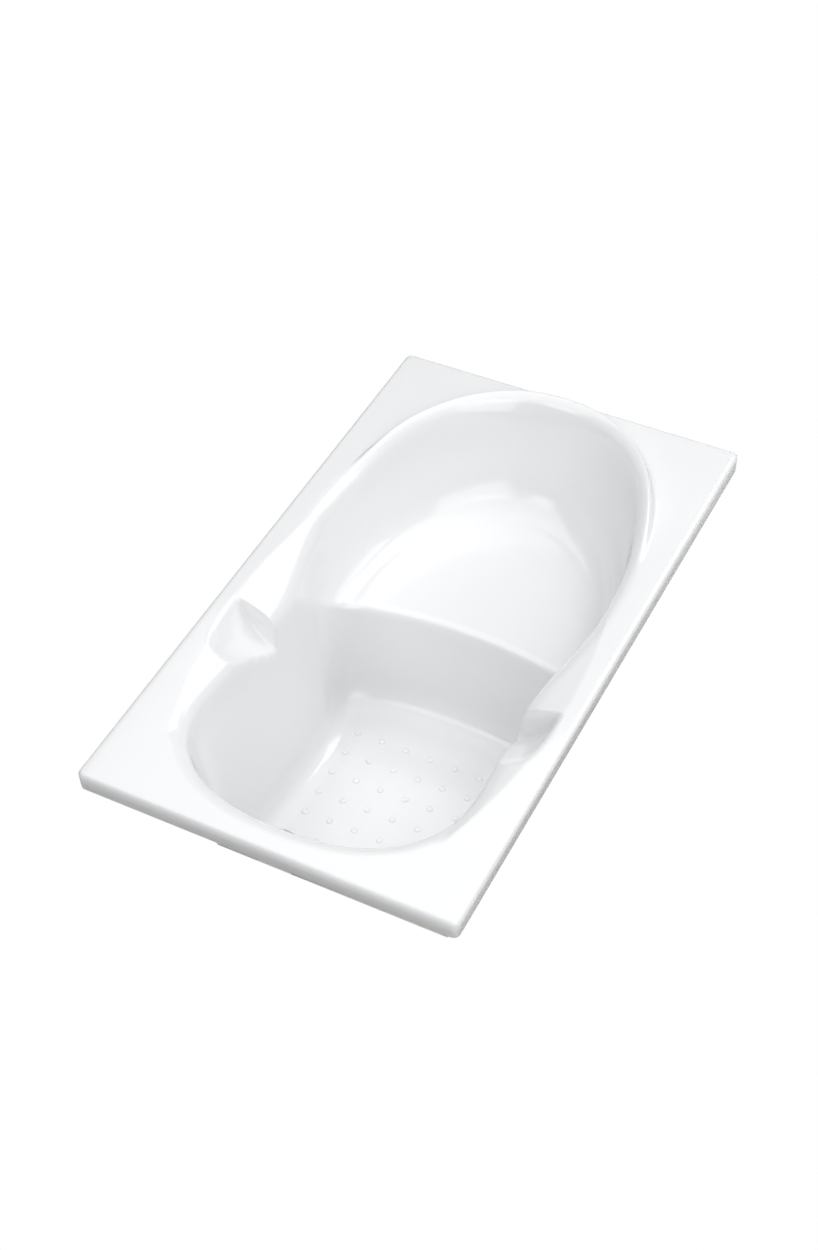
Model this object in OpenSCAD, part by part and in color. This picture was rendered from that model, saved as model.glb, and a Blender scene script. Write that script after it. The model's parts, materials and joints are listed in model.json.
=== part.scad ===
// Built-in soaking tub with a moulded seat, a deep foot well, hand grips and a pop-up waste.
// X runs across the tub, Y runs from the foot end to the seat end, Z is up from the floor.

/* [Rim] */
// Length of the rim
rim_l = 1200; // [1180:5:1240]
// Width of the rim
rim_w = 700; // [690:5:720]
// Height of the deck above the floor
deck_z = 565; // [560:1:580]
// Height of the turned-down lip
lip_h = 37; // [32:1:42]
// Radius of the lip's top edge
lip_r = 8; // [6:0.5:9]
// Thickness of the moulded shell
shell_t = 7; // [6:0.5:8]

/* [Basin] */
// Half width of the bathing end at deck level
lobe_w = 281; // [276:1:285]
// Half width of the waist
waist_w = 244; // [240:1:250]
// Half width of the foot end
foot_w = 255; // [250:1:262]
// Depth of the seat below the deck
seat_depth = 195; // [185:1:200]
// Depth of the foot well below the deck, at its far end
well_depth = 410; // [400:1:412]
// Place of the seat's front edge along Y, at the middle
crest_y = 125; // [115:1:130]
// How far the seat's front edge bows back at the middle
crest_bow = 22; // [10:1:30]
// Height of the ring behind the bather's shoulders
ring_h = 24; // [16:1:28]

/* [Hand grips] */
// Far edge of the grip along Y
grip_y = -134; // [-140:1:-128]
// Depth of the grip's floor
grip_depth = 44; // [38:1:48]

/* [Running gear] */
// Height adjustment of each foot, up and down
foot_travel = 15; // [8:1:18]
// Diameter of the foot's threaded rod
rod_d = 12; // [10:1:12]
// Side of the frame's square tube
tube = 25; // [25:1:28]
// How far the waste plug lifts
plug_lift = 8; // [6:0.5:9]

/* [Hidden] */
$fn = 48;

// ---- Outline of the opening ----
lobe_y = 120;       // widest place of the bathing end
waist_y = -120;     // narrowest place
foot_y = -340;      // widest place of the foot end
far_y = rim_l / 2 - 36;     // tip of the bathing end
near_y = 58 - rim_l / 2;    // tip of the foot end
lobe_n = 2.22;      // roundness of the bathing end
foot_n = 2.4;       // roundness of the foot end
far_l = far_y - lobe_y;
near_l = foot_y - near_y;
// ---- Wall slopes, as run over drop ----
side_t = 0.10;
back_t = 0.38;
end_t = 0.12;
step_t = 0.16;
// ---- Roundings ----
roll_k = 32;        // deck to wall
seat_k = 60;        // wall to seat
well_k = 50;        // wall to well floor
crest_k = 15;       // seat to step
corner_k = 80;      // step to side wall, seen from above
grip_k = 12;        // deck to grip
grip_x = 312;       // outer edge of the grip
grip_l = 100;       // length of the grip at its outer edge
grip_flare = 0.62;  // how much longer it is for each step in
grip_steep = 0.32;  // run over drop of the grip's far side
grip_out = 0.5;     // and of its outer side
grip_gentle = 0.62; // drop over run of its near side
grip_in = 150;      // nearer the middle than this there is only the well
grip_fall = 0.25;   // fall of its floor towards the basin
grip_p = 2.5;       // how sharply its sides meet: a low power makes a soft dish
// ---- Deck ----
arm_y = -110;       // middle of the arm rests
arm_x = 318;        // their outer crease there
arm_bow = 44;       // how far the crease bows in over arm_reach
arm_reach = 300;
arm_slope = 0.32;   // drop over run, down to the basin
ring_foot = 28;     // from the wall line out to the foot of the ring
ring_top = 16;      // from the wall line out to the top of the ring
seat_fall = 0.015;
well_fall = 0.025;
level_y = -335;     // the well floor is level from here to the foot end

function mix(a, b, t) = a + (b - a) * t;
function ease(t) = let (c = min(1, max(0, t))) c * c * (3 - 2 * c);
function ramp(v, lo, hi) = ease((v - lo) / (hi - lo));

// Half width of the opening between its two rounded ends
function side_w(y) = y > waist_y
    ? mix(waist_w, lobe_w, ramp(y, waist_y, lobe_y))
    : mix(waist_w, foot_w, ramp(y, waist_y, foot_y));
function side_lean(y) = (side_w(y + 1) - side_w(y - 1)) / 2;

// Gradient of a superellipse's own radius
function oval_r(x, y, a, b, n) = pow(pow(x / a, n) + pow(y / b, n), 1 / n);
function oval_grad(x, y, a, b, n) = let (r = pow(oval_r(x, y, a, b, n), 1 - n))
    [r * pow(x / a, n - 1) / a, r * pow(y / b, n - 1) / b];

// Distance in from the wall line, and how far the wall there faces along Y
function end_in(x, y, a, b, n) = let (g = oval_grad(x, y, a, b, n))
    [(1 - oval_r(x, y, a, b, n)) / norm(g), g.y / norm(g)];
function wall_in(x, y) = let (ax = max(abs(x), 0.01))
    y > lobe_y ? end_in(ax, y - lobe_y, lobe_w, far_l, lobe_n)
  : y < foot_y ? end_in(ax, foot_y - y, foot_w, near_l, foot_n)
  : [(side_w(y) - ax) / norm([1, side_lean(y)]), 0];

// Depth where two slanted faces meet in a rounding of width k: s = 1 opens, s = -1 fills.
// c1 and c2 turn a drop into a distance square to each face.
function meet(d1, c1, d2, c2, k, s) =
    let (first = s * (d1 - d2) > 0, gap = abs(d1 - d2) * (first ? c2 : c1))
    gap >= k ? (first ? d1 : d2)
  : let (p1 = c1 * d1, p2 = c2 * d2, dp = p1 - p2, dc = c1 - c2,
         b = -2 * k * s * (c1 + c2) - 2 * dp * dc,
         c = 2 * k * s * (p1 + p2) + k * k + dp * dp,
         root = sqrt(max(0, b * b - 4 * dc * dc * c)))
    2 * c / (s * root - b);
function steep(t) = t / norm([1, t]);

// Drop of the deck: it slopes to the basin as an arm rest and rises as a ring at the far end
function arm_edge(y) = arm_x - arm_bow * pow((y - arm_y) / arm_reach, 2);
function ring_win(y) = ramp(y, 215, 420);
function arm_drop(x, y) = arm_slope * max(0, arm_edge(y) - max(abs(x), side_w(y)));
function deck_drop(x, y, inward) = arm_drop(x, y)
    - ring_h * ring_win(y) * ramp(-inward, ring_foot, ring_top);

function seat_drop(y) = seat_depth - seat_fall * (y - crest_y);
function well_drop(y) = well_depth - well_fall * (max(y, level_y) - 40);
function step_in(x, y) = (crest_y - crest_bow * pow(x / 200, 2) - y) / norm([1, step_t]);

// Wall line, roll, wall and seat: inward is the distance in, t the offset to the underside
function upper(inward, slope, lip, deck, seat, t) =
    let (wall = lip + inward / slope, c = steep(slope))
    wall < 90 ? meet(deck + t, 1, wall, c, roll_k - t, 1)
              : meet(wall, c, seat, 1, seat_k + t, -1);

function basin(x, y, t) =
    let (at = wall_in(x, y),
         slope = y > lobe_y ? mix(side_t, back_t, ease(at.y)) : mix(side_t, end_t, ease(at.y)),
         inward = at.x + t * norm([1, slope]),
         lip = deck_drop(x, y, 0),
         deck = deck_drop(x, y, at.x),
         seat = seat_drop(y) + t,
         up = upper(inward, slope, lip, deck, seat, t),
         fall = upper(inward + 0.5, slope, lip, deck, seat, t)
             - upper(inward - 0.5, slope, lip, deck, seat, t),
         side_m = inward - slope * (seat - t - lip),
         step_m = step_in(x, y) + t * norm([1, step_t]),
         share = ease(0.5 + (step_m - side_m) / corner_k / 2),
         run = mix(step_t, slope, share),
         tie = max(0, corner_k - abs(side_m - step_m)),
         well_m = min(side_m, step_m) - tie * tie / corner_k / 4,
         wall = seat - t + well_m / run,
         floor_d = well_drop(y) + t,
         low = wall < seat + 100 ? wall : meet(wall, steep(run), floor_d, 1, well_k + t, -1))
    meet(up, 1 / norm([1, fall]), low, steep(run), (crest_k - t) * (1 - share), 1);

// Hand grip: a scoop open to the basin, steep at its far and outer sides
function grip(x, y, t) =
    let (out = grip_x - abs(x),
         far = (grip_y - y + t) / grip_steep,
         side = (out + t) / grip_out,
         near = (y - grip_y + grip_l + grip_flare * out + t) * grip_gentle,
         base = grip_depth + grip_fall * out + t)
    min(far, side, near, base) <= 0 ? 0
  : pow(pow(far, -grip_p) + pow(side, -grip_p) + pow(near, -grip_p) + pow(base, -grip_p), -1 / grip_p);
function slant(f0, fx, fy) = 1 / norm([1, fx - f0, fy - f0]);

// Depth of the shell's face below the deck
function drop(x, y, t = 0) =
    let (d = basin(x, y, t))
    y > grip_y + grip_k || y < grip_y - 2 * grip_l || abs(x) < grip_in ? d
  : let (g = grip(x, y, t))
    g <= 0 ? d
  : let (cd = slant(d, basin(x + 1, y, t), basin(x, y + 1, t)),
         cg = slant(g, grip(x + 1, y, t), grip(x, y + 1, t)))
    meet(d, cd, g, cg, max(2, grip_k - t), 1);

// ---- Net of points: rings round the opening, and rows across the basin inside them ----
corner_a = 45;      // where the rounded ends hand over to the sides
function oval_pt(a, b, n, t) = [a * pow(cos(t), 2 / n), b * pow(sin(t), 2 / n)];
near_c = oval_pt(foot_w, near_l, foot_n, corner_a);
far_c = oval_pt(lobe_w, far_l, lobe_n, corner_a);
near_corner_y = foot_y - near_c.y;
far_corner_y = lobe_y + far_c.y;
edge_runs = [0, 8, 17, 27, 38, 50, 64, 80, 104, 140, 195];
cols = [for (e = edge_runs) -1 + e / 240, for (i = [10:-1:0]) 1 - edge_runs[i] / 240];
last_col = len(cols) - 1;
step_runs = [-88, -72, -60, -50, -41, -33, -26, -19, -12, -6, 0, 6, 14];
rows = [
    for (j = [0:7]) near_corner_y + 5.5 * j,
    -425, -390, -350, -310,
    -278, -252, -228, -205, -185, -168,
    for (r = [25, 17, 9, 3, -1, -7]) grip_y - r,
    -100, -65, -30,
    for (r = step_runs) crest_y - crest_bow + r,
    150, 200, 255,
    for (j = [9:-1:0]) far_corner_y - 16 * j
];
last_row = len(rows) - 1;
ring_n = 2 * (last_col + last_row);          // points in one ring
near_pull = [for (j = [0:last_row]) max(0, 1 - j / 7)];
far_pull = [for (j = [0:last_row]) max(0, 1 - (last_row - j) / 10)];
crest_pull = [for (y = rows) crest_bow * ramp(y, -90, 10) * (1 - ramp(y, 170, 260))];

far_first = last_col + last_row;            // where a ring turns on to the far end
function ring_end(k) = k < last_col ? 0 : k < far_first ? 1 : k < far_first + last_col ? 2 : 3;
function ring_col(k) = ring_end(k) == 0 ? k : far_first + last_col - k;
function ring_row(k) = ring_end(k) == 1 ? k - last_col : ring_n - k;
function oval_y(x, a, b, n) = b * pow(1 - pow(abs(x) / a, n), 1 / n);
function base_pt(k) = let (e = ring_end(k))
    e == 0 ? let (x = cols[k] * near_c.x) [x, foot_y - oval_y(x, foot_w, near_l, foot_n)]
  : e == 2 ? let (x = cols[ring_col(k)] * far_c.x) [x, lobe_y + oval_y(x, lobe_w, far_l, lobe_n)]
  : let (y = rows[ring_row(k)], s = e == 1 ? 1 : -1)
    [s * (y > lobe_y ? oval_x(y - lobe_y, far_l, lobe_w, lobe_n)
        : y < foot_y ? oval_x(foot_y - y, near_l, foot_w, foot_n) : side_w(y)), y];
function oval_x(y, b, a, n) = a * pow(1 - pow(y / b, n), 1 / n);
function base_out(k) = let (p = base_pt(k), s = p.x < 0 ? -1 : 1, ax = max(abs(p.x), 0.01))
    p.y > lobe_y ? let (g = oval_grad(ax, p.y - lobe_y, lobe_w, far_l, lobe_n)) [s * g.x, g.y] / norm(g)
  : p.y < foot_y ? let (g = oval_grad(ax, foot_y - p.y, foot_w, near_l, foot_n)) [s * g.x, -g.y] / norm(g)
  : [s, -side_lean(p.y)] / norm([1, side_lean(p.y)]);
base = [for (k = [0:ring_n - 1]) base_pt(k)];
outward = [for (k = [0:ring_n - 1]) base_out(k)];

// Rounded rectangle of the rim: each ring point has its place on it
corner_r = 12;
function stretch(v, end, to) = v + (to - abs(end)) * sign(v) * pow(abs(v / end), 4);
function rect_pt(k, inset) =
    let (hw = rim_w / 2 - inset, hl = rim_l / 2 - inset, r = max(3, corner_r - inset), e = ring_end(k),
         raw = e == 0 || e == 2
             ? [cols[e == 0 ? k : ring_col(k)] * hw, (e == 0 ? -1 : 1) * hl]
             : let (y = rows[ring_row(k)])
               [(e == 1 ? 1 : -1) * hw, stretch(y, y < 0 ? near_corner_y : far_corner_y, hl)],
         cx = hw - r, cy = hl - r, v = [abs(raw.x) - cx, abs(raw.y) - cy])
    v.x > 0 && v.y > 0
        ? [sign(raw.x) * (cx + v.x * r / norm(v)), sign(raw.y) * (cy + v.y * r / norm(v))]
        : raw;

function on_face(p, t) = [p.x, p.y, deck_z - drop(p.x, p.y, t)];
function grown(k, u) = base[k] + outward[k] * u;
function end_face(k) = wall_in(base[k].x, base[k].y - 0.01 * sign(base[k].y)).y;
function inner_u(k) = -mix(12, base[k].y > 0 ? 50 : 14, ease(end_face(k)));
// Share of the way from the lip to the roll where the arm rest's crease lies
function crease(from, to) = let (a = abs(from.x), b = abs(to.x))
    a - b < 1 ? 0.5 : min(0.75, max(0.3, (a - max(arm_edge(from.y), lobe_w)) / (a - b)));

deck_share = [0, 0.2, 0.45, 0.72];
top_u = [27.5, 24.5, 21.5, 18.5, 14, 9.5, 5, 1, -3];
under_u = [29, 22, 15, 8, 1];
deck_first = 5;
roll_first = deck_first + len(deck_share);
top_rings = roll_first + len(top_u) + 1;
under_rings = 4 + len(under_u) + 1;
function deck_ring(k, inset, u, share, t) =
    let (a = rect_pt(k, inset), b = grown(k, u))
    on_face(mix(a, b, share < 0 ? -share * crease(a, b) : mix(crease(a, b), 1, share)), t);
function top_ring(r, k) =
    r == 0 ? concat(rect_pt(k, 1), deck_z - lip_h)
  : r == 1 ? concat(rect_pt(k, 0), deck_z - lip_r)
  : r == 2 ? concat(rect_pt(k, lip_r * 0.3), deck_z - lip_r * 0.3)
  : r == 3 ? on_face(rect_pt(k, lip_r), 0)
  : r == 4 ? deck_ring(k, lip_r, top_u[0], -0.6, 0)
  : r < roll_first ? deck_ring(k, lip_r, top_u[0], deck_share[r - deck_first], 0)
  : r < top_rings - 1 ? on_face(grown(k, top_u[r - roll_first]), 0)
  : on_face(grown(k, inner_u(k)), 0);
function under_ring(r, k) =
    r == 0 ? concat(rect_pt(k, shell_t), deck_z - lip_h)
  : r == 1 ? concat(rect_pt(k, shell_t), deck_z - shell_t)
  : r == 2 ? deck_ring(k, shell_t, under_u[0], -0.7, shell_t)
  : r == 3 ? deck_ring(k, shell_t, under_u[0], 0, shell_t)
  : r < under_rings - 1 ? on_face(grown(k, under_u[r - 4]), shell_t)
  : on_face(grown(k, inner_u(k) + shell_t), shell_t);

// Points inside the innermost ring, rows pulled towards each end's curve
function edge_k(i, j) = j == 0 ? i : i == last_col ? last_col + j
  : j == last_row ? far_first + last_col - i : (ring_n - j) % ring_n;
function net_pt(edge, i, j) =
    let (b = (cols[i] + 1) / 2,
         left = edge[edge_k(0, j)], right = edge[edge_k(last_col, j)],
         n = edge[i] - mix(edge[0], edge[last_col], b),
         f = edge[edge_k(i, last_row)]
             - mix(edge[edge_k(0, last_row)], edge[edge_k(last_col, last_row)], b))
    mix(left, right, b) + near_pull[j] * n + far_pull[j] * f
    + [0, crest_pull[j] * (1 - cols[i] * cols[i])];

all_i = [for (i = [0:last_col]) i];
all_j = [for (j = [0:last_row]) j];
// The underside takes every other row and column
some_i = [for (i = [0:2:10]) i, for (i = [11:2:last_col]) i];
some_j = [for (j = [0:2:last_row - 1]) j, last_row];

// Ring places used by a net that keeps only some rows and columns
function ring_ks(is, js) = [
    for (a = [0:len(is) - 2]) is[a],
    for (b = [0:len(js) - 2]) last_col + js[b],
    for (a = [len(is) - 1:-1:1]) far_first + last_col - is[a],
    for (b = [len(js) - 1:-1:1]) (ring_n - js[b]) % ring_n
];
function net_edge(m, n, a, b) = b == 0 ? a : a == m ? m + b : b == n ? 2 * m + n - a
  : (2 * (m + n) - b) % (2 * (m + n));
// Index of a net point: the last ring first, then the inner points row by row
function net_id(m, n, ring0, inner0, a, b) = a == 0 || a == m || b == 0 || b == n
    ? ring0 + net_edge(m, n, a, b) : inner0 + (b - 1) * (m - 1) + a - 1;
function quad(a, b, c, d, flip) = flip ? [[a, b, c], [a, c, d]] : [[c, b, a], [d, c, a]];

function face_points(is, js, rings, ring_fn, t) =
    let (ks = ring_ks(is, js),
         edge = [for (k = [0:ring_n - 1]) grown(k, inner_u(k) + t)])
    concat(
        [for (r = [0:rings - 1], k = ks) ring_fn == 0 ? top_ring(r, k) : under_ring(r, k)],
        [for (b = [1:len(js) - 2], a = [1:len(is) - 2]) on_face(net_pt(edge, is[a], js[b]), t)]);
function face_quads(is, js, rings, id0, flip) =
    let (m = len(is) - 1, n = len(js) - 1, q = 2 * (m + n),
         last = id0 + (rings - 1) * q, inner = id0 + rings * q,
         ring_id = function (r, k) id0 + r * q + k % q,
         id = function (a, b) net_id(m, n, last, inner, a, b))
    concat(
        [for (r = [0:rings - 2], k = [0:q - 1])
            each quad(ring_id(r, k), ring_id(r, k + 1), ring_id(r + 1, k + 1), ring_id(r + 1, k), flip)],
        [for (b = [0:n - 1], a = [0:m - 1])
            each quad(id(a, b), id(a + 1, b), id(a + 1, b + 1), id(a, b + 1), flip)]);

module shell_form() {
    ks = ring_ks(some_i, some_j);
    q = len(ks);
    top = face_points(all_i, all_j, top_rings, 0, 0);
    under = face_points(some_i, some_j, under_rings, 1, shell_t);
    id0 = len(top);
    // Foot of the lip, from the full ring outside to the sparser ring inside
    lip = [for (b = [0:q - 1]) let (next = (b + 1) % q, k0 = ks[b], k1 = next == 0 ? ring_n : ks[next])
        each concat([for (k = [k0:k1 - 1]) [k, (k + 1) % ring_n, id0 + next]],
            [[k0, id0 + next, id0 + b]])];
    polyhedron(concat(top, under), concat(
        face_quads(all_i, all_j, top_rings, 0, false),
        face_quads(some_i, some_j, under_rings, id0, true), lip), convexity = 10);
}

// ---- Levels and places under the shell ----
slip = 0.05;                                // running clearance on a radius
board_t = 16;
seat_board_t = 14;
well_z = deck_z - well_drop(level_y);       // top of the well floor at the waste
well_under = well_z - shell_t;
board_z = well_under - board_t;             // underside of the base board and top of the frame
rail_z = board_z - tube;
seat_board_z = deck_z - seat_depth - shell_t - seat_board_t;
seat_tube_z = seat_board_z - tube;
rail_x = 130;
rail_ends = [-452, 420];
foot_ys = [-432, 400];
cross_ys = [-305, -5, 366];
post_ys = [166, 330];
seat_tube_l = 290;
tube_wall = 2;
tube_r = 3;                                 // rolled corner of the tube

module at_waste(z = 0) {
    translate([0, waste_y, z]) children();
}

// ---- Shell ----
waste_y = -395;
waste_hole = 26;
overflow_hole = 20;
module bath_shell() {
    color("white") difference() {
        shell_form();
        at_waste(well_under - 5) cylinder(r = waste_hole, h = 30);
        at_overflow(-20) cylinder(r = overflow_hole, h = 40);
    }
}

// ---- Boards and battens bonded under the shell ----
screw_r = 2.5;
screw_in = 11;
tab = [30, 24, 3];
tab_x = 70;
base_board_size = [300, 340, 25];           // width, length, corner radius
seat_board_size = [250, 180, 45];
base_board_y = -325;
seat_board_y = 172;
side_batten_size = [19.5, 950, 18];
end_batten_size = [480, 17.5, 18];
batten_gap = 0.5;                           // bonding paste between batten and shell
batten_z = deck_z - shell_t - batten_gap;
bond = 0.1;                                 // and over the boards

// Places of the screws: beside the two tubes that hold a board
function screw_places(y0, y1) = let (reach = (tube + tab.y) / 2)
    [for (x = [-tab_x, tab_x], y = [y0 + reach, y1 - reach]) [x, y]];
base_screws = screw_places(cross_ys[0], cross_ys[1]);
seat_screws = screw_places(post_ys[0], post_ys[1]);

module rounded(w, l, r) {
    hull() for (x = [r - w / 2, w / 2 - r], y = [r - l / 2, l / 2 - r]) translate([x, y]) circle(r);
}
// A board whose top follows the fall of the floor above it, from z0 to z1
module fall_board(size, y0, low, z0, z1, holes) {
    y1 = y0 + size.y;
    color("burlywood") difference() {
        intersection() {
            translate([-size.x / 2, 0, 0]) rotate([90, 0, 90]) linear_extrude(size.x)
                polygon([[y0, low], [y1, low], [y1, z1], [y0, z0]]);
            translate([0, (y0 + y1) / 2, low]) linear_extrude(max(z0, z1) - low)
                rounded(size.x, size.y, size.z);
        }
        for (p = holes) translate([p.x, p.y, low - 1]) cylinder(r = screw_r + slip, h = screw_in + 1);
    }
}
function well_under_z(y) = deck_z - well_drop(y) - shell_t - bond;
function seat_under_z(y) = deck_z - seat_drop(y) - shell_t - bond;
module base_board() {
    fall_board(base_board_size, base_board_y, board_z, well_under_z(base_board_y),
        well_under_z(base_board_y + base_board_size.y), base_screws);
}
module seat_board() {
    fall_board(seat_board_size, seat_board_y, seat_board_z, seat_under_z(seat_board_y),
        seat_under_z(seat_board_y + seat_board_size.y), seat_screws);
}
module side_batten(side) {
    reach = rim_w / 2 - shell_t - batten_gap - side_batten_size.x / 2;
    color("burlywood") translate([side * reach, 0, batten_z - side_batten_size.z / 2])
        cube(side_batten_size, center = true);
}
module side_batten_left() side_batten(-1);
module side_batten_right() side_batten(1);
module end_batten() {
    reach = rim_l / 2 - shell_t - batten_gap - end_batten_size.y / 2;
    color("burlywood") translate([0, -reach, batten_z - end_batten_size.z / 2])
        cube(end_batten_size, center = true);
}

// ---- Welded frame of square tube ----
module soft_square(w, r) {
    square([w, w - 2 * r], center = true);
    square([w - 2 * r, w], center = true);
    for (x = [-1, 1], y = [-1, 1]) translate((w / 2 - r) * [x, y]) circle(r);
}
module square_tube(l) {
    linear_extrude(l, center = true) difference() {
        soft_square(tube, tube_r);
        soft_square(tube - 2 * tube_wall, tube_r - tube_wall);
    }
}
// Drilled tabs welded to a cross tube, under the board
module tabs(side) {
    for (x = [-tab_x, tab_x])
        translate([x, side * (tube + tab.y) / 2, (tube - tab.z) / 2]) difference() {
            cube(tab, center = true);
            cylinder(r = screw_r + slip, h = 2 * tab.z, center = true);
        }
}
module rail(side) {
    color("silver") difference() {
        translate([side * rail_x, (rail_ends[0] + rail_ends[1]) / 2, rail_z + tube / 2])
            rotate([90, 0, 0]) square_tube(rail_ends[1] - rail_ends[0]);
        for (y = foot_ys) translate([side * rail_x, y, rail_z - 1])
            cylinder(r = rod_d / 2 + slip, h = tube + 2);
    }
}
module cross_tube(y) {
    color("silver") translate([0, y, rail_z + tube / 2]) {
        rotate([0, 90, 0]) square_tube(2 * rail_x - tube);
        children();
    }
}
module seat_post(side, y) {
    color("silver") translate([side * rail_x, y, (board_z + seat_tube_z) / 2])
        square_tube(seat_tube_z - board_z);
}
module seat_tube(y) {
    color("silver") translate([0, y, seat_tube_z + tube / 2]) {
        rotate([0, 90, 0]) square_tube(seat_tube_l);
        children();
    }
}
module rail_left() rail(-1);
module rail_right() rail(1);
module cross_tube_front() cross_tube(cross_ys[0]) tabs(1);
module cross_tube_middle() cross_tube(cross_ys[1]) tabs(-1);
module cross_tube_rear() cross_tube(cross_ys[2]);
module seat_post_front_left() seat_post(-1, post_ys[0]);
module seat_post_front_right() seat_post(1, post_ys[0]);
module seat_post_rear_left() seat_post(-1, post_ys[1]);
module seat_post_rear_right() seat_post(1, post_ys[1]);
module seat_tube_front() seat_tube(post_ys[0]) tabs(1);
module seat_tube_rear() seat_tube(post_ys[1]) tabs(-1);

// A plastic cap: a plate over the tube's end and a plug inside it
cap_t = 3;
cap_in = 10;
module tube_cap() {
    linear_extrude(cap_t) soft_square(tube, tube_r);
    translate([0, 0, -cap_in]) linear_extrude(cap_in + 0.01)
        soft_square(tube - 2 * (tube_wall + bond), tube_r - tube_wall);
}
module tube_caps() {
    color("dimgray") for (side = [-1, 1]) {
        translate([side * rail_x, rail_ends[1], rail_z + tube / 2]) rotate([-90, 0, 0]) tube_cap();
        translate([side * rail_x, rail_ends[0], rail_z + tube / 2]) rotate([90, 0, 0]) tube_cap();
        for (y = post_ys) translate([side * seat_tube_l / 2, y, seat_tube_z + tube / 2])
            rotate([0, side * 90, 0]) tube_cap();
    }
}
// Cross-head screws, driven up through the tabs
head = [5, 3.6, 2.6];                       // radius at the tab, radius below, height
module screw() {
    slot = [head.x, 1, head.z];
    cylinder(r = screw_r, h = screw_in);
    translate([0, 0, -head.z]) difference() {
        cylinder(r1 = head.y, r2 = head.x, h = head.z);
        for (a = [0, 90]) rotate(a) cube(slot, center = true);
    }
}
module screws_at(places, z) {
    color("gainsboro") for (p = places) translate([p.x, p.y, z - tab.z]) screw();
}
module board_screws() screws_at(base_screws, board_z);
module seat_board_screws() screws_at(seat_screws, seat_board_z);

// ---- Levelling feet ----
nut_h = 8;
pad_h = 16;
module lock_nuts() {
    color("gainsboro") for (x = [-rail_x, rail_x], y = foot_ys) translate([x, y, rail_z - nut_h])
        difference() {
            intersection() {
                cylinder(d = rod_d * 1.8, h = nut_h, $fn = 6);
                cylinder(r1 = rod_d * 0.82, r2 = rod_d * 0.95, h = nut_h);
            }
            translate([0, 0, -1]) cylinder(r = rod_d / 2 + slip, h = nut_h + 2);
        }
}
module foot_rod(side, y) {
    top = board_z + 11 - foot_travel;
    color("silver") translate([side * rail_x, y, 0]) {
        rotate_extrude()
            polygon([[0, 6], [rod_d / 2, 6], [rod_d / 2, top - 1], [rod_d / 2 - 1, top], [0, top]]);
        translate([0, 0, pad_h]) cylinder(d = rod_d * 1.7, h = 6, $fn = 6);
    }
}
// Pad with a ribbed rim that a hand can turn
module foot_pad(side, y) {
    color("dimgray") translate([side * rail_x, y, 0]) difference() {
        rotate_extrude() polygon([[0, 0], [25, 0], [26, 1], [26, 4], [24, 6], [13, 9],
            [11, 11], [11, pad_h], [0, pad_h]]);
        translate([0, 0, 6]) cylinder(r = rod_d / 2 + slip, h = pad_h);
        for (a = [0:30:330]) rotate(a) translate([26.5, 0, -1]) cylinder(r = 1.6, h = 12);
    }
}
module foot_rod_front_left() foot_rod(-1, foot_ys[0]);
module foot_rod_front_right() foot_rod(1, foot_ys[0]);
module foot_rod_rear_left() foot_rod(-1, foot_ys[1]);
module foot_rod_rear_right() foot_rod(1, foot_ys[1]);
module foot_pad_front_left() foot_pad(-1, foot_ys[0]);
module foot_pad_front_right() foot_pad(1, foot_ys[0]);
module foot_pad_rear_left() foot_pad(-1, foot_ys[1]);
module foot_pad_rear_right() foot_pad(1, foot_ys[1]);

// ---- Waste ----
gasket_t = 1.5;
washer_t = 4;
flange_t = 2.8;
stem_r = 4;
neck_r = 25;                                // threaded neck of the flange
neck_bore = 21.5;
neck_l = 22;                                // how far it reaches below the shell
chamber_r = 36;
chamber_in = 32.5;
inlet_z = well_under - 40;                  // centre of the overflow's inlet
chamber_z = inlet_z - 18;                   // floor of the waste body's chamber
lifter_turn = 30;
pin_y = plug_lift / sin(lifter_turn);       // lifter's pin, from the plug's axis
pin_r = 2;
pin_z = inlet_z;
spigot_l = 14;                              // length of the spigots inside the hose
hub_r = 4.5;
lift_gap = 0.45;
stem_z = pin_z + hub_r + lift_gap;          // lower end of the plug's stem
crank = 11;                                 // reach of the lifter's crank, down to the wire
crank_x = 21;
spout_r = 19;
spout_z = 18;
flange_z = well_z + gasket_t + flange_t;    // top of the flange, where the plug rests
cable_r = 2.5;
guide_r = 4.5;

module flat_ring(outer, inner, h) {
    difference() {
        cylinder(r = outer, h = h);
        translate([0, 0, -1]) cylinder(r = inner, h = h + 2);
    }
}
module waste_gasket() {
    color("dimgray") at_waste(well_z + bond) flat_ring(34, waste_hole, gasket_t - bond);
}
module waste_washer() {
    color("dimgray") at_waste(well_under - washer_t) flat_ring(chamber_r, waste_hole, washer_t);
}
module waste_flange() {
    seat = well_z + gasket_t;
    low = well_under - neck_l;
    color("gainsboro") at_waste() {
        rotate_extrude() polygon([[neck_bore, low], [neck_r, low], [neck_r, seat], [35.5, seat],
            [36, seat + 0.5], [34, seat + 2.2], [29, flange_z], [25, seat + 1.6], [neck_bore, seat - 2]]);
        // Spider that guides the plug's stem
        difference() {
            union() {
                translate([0, 0, low + 3]) cylinder(r = 7.5, h = 9);
                for (a = [0, 120, 240]) rotate(a) translate([4, -1.25, low + 3])
                    cube([neck_bore - 3.5, 2.5, 7]);
            }
            translate([0, 0, low]) cylinder(r = stem_r + slip, h = 20);
        }
    }
}
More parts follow.
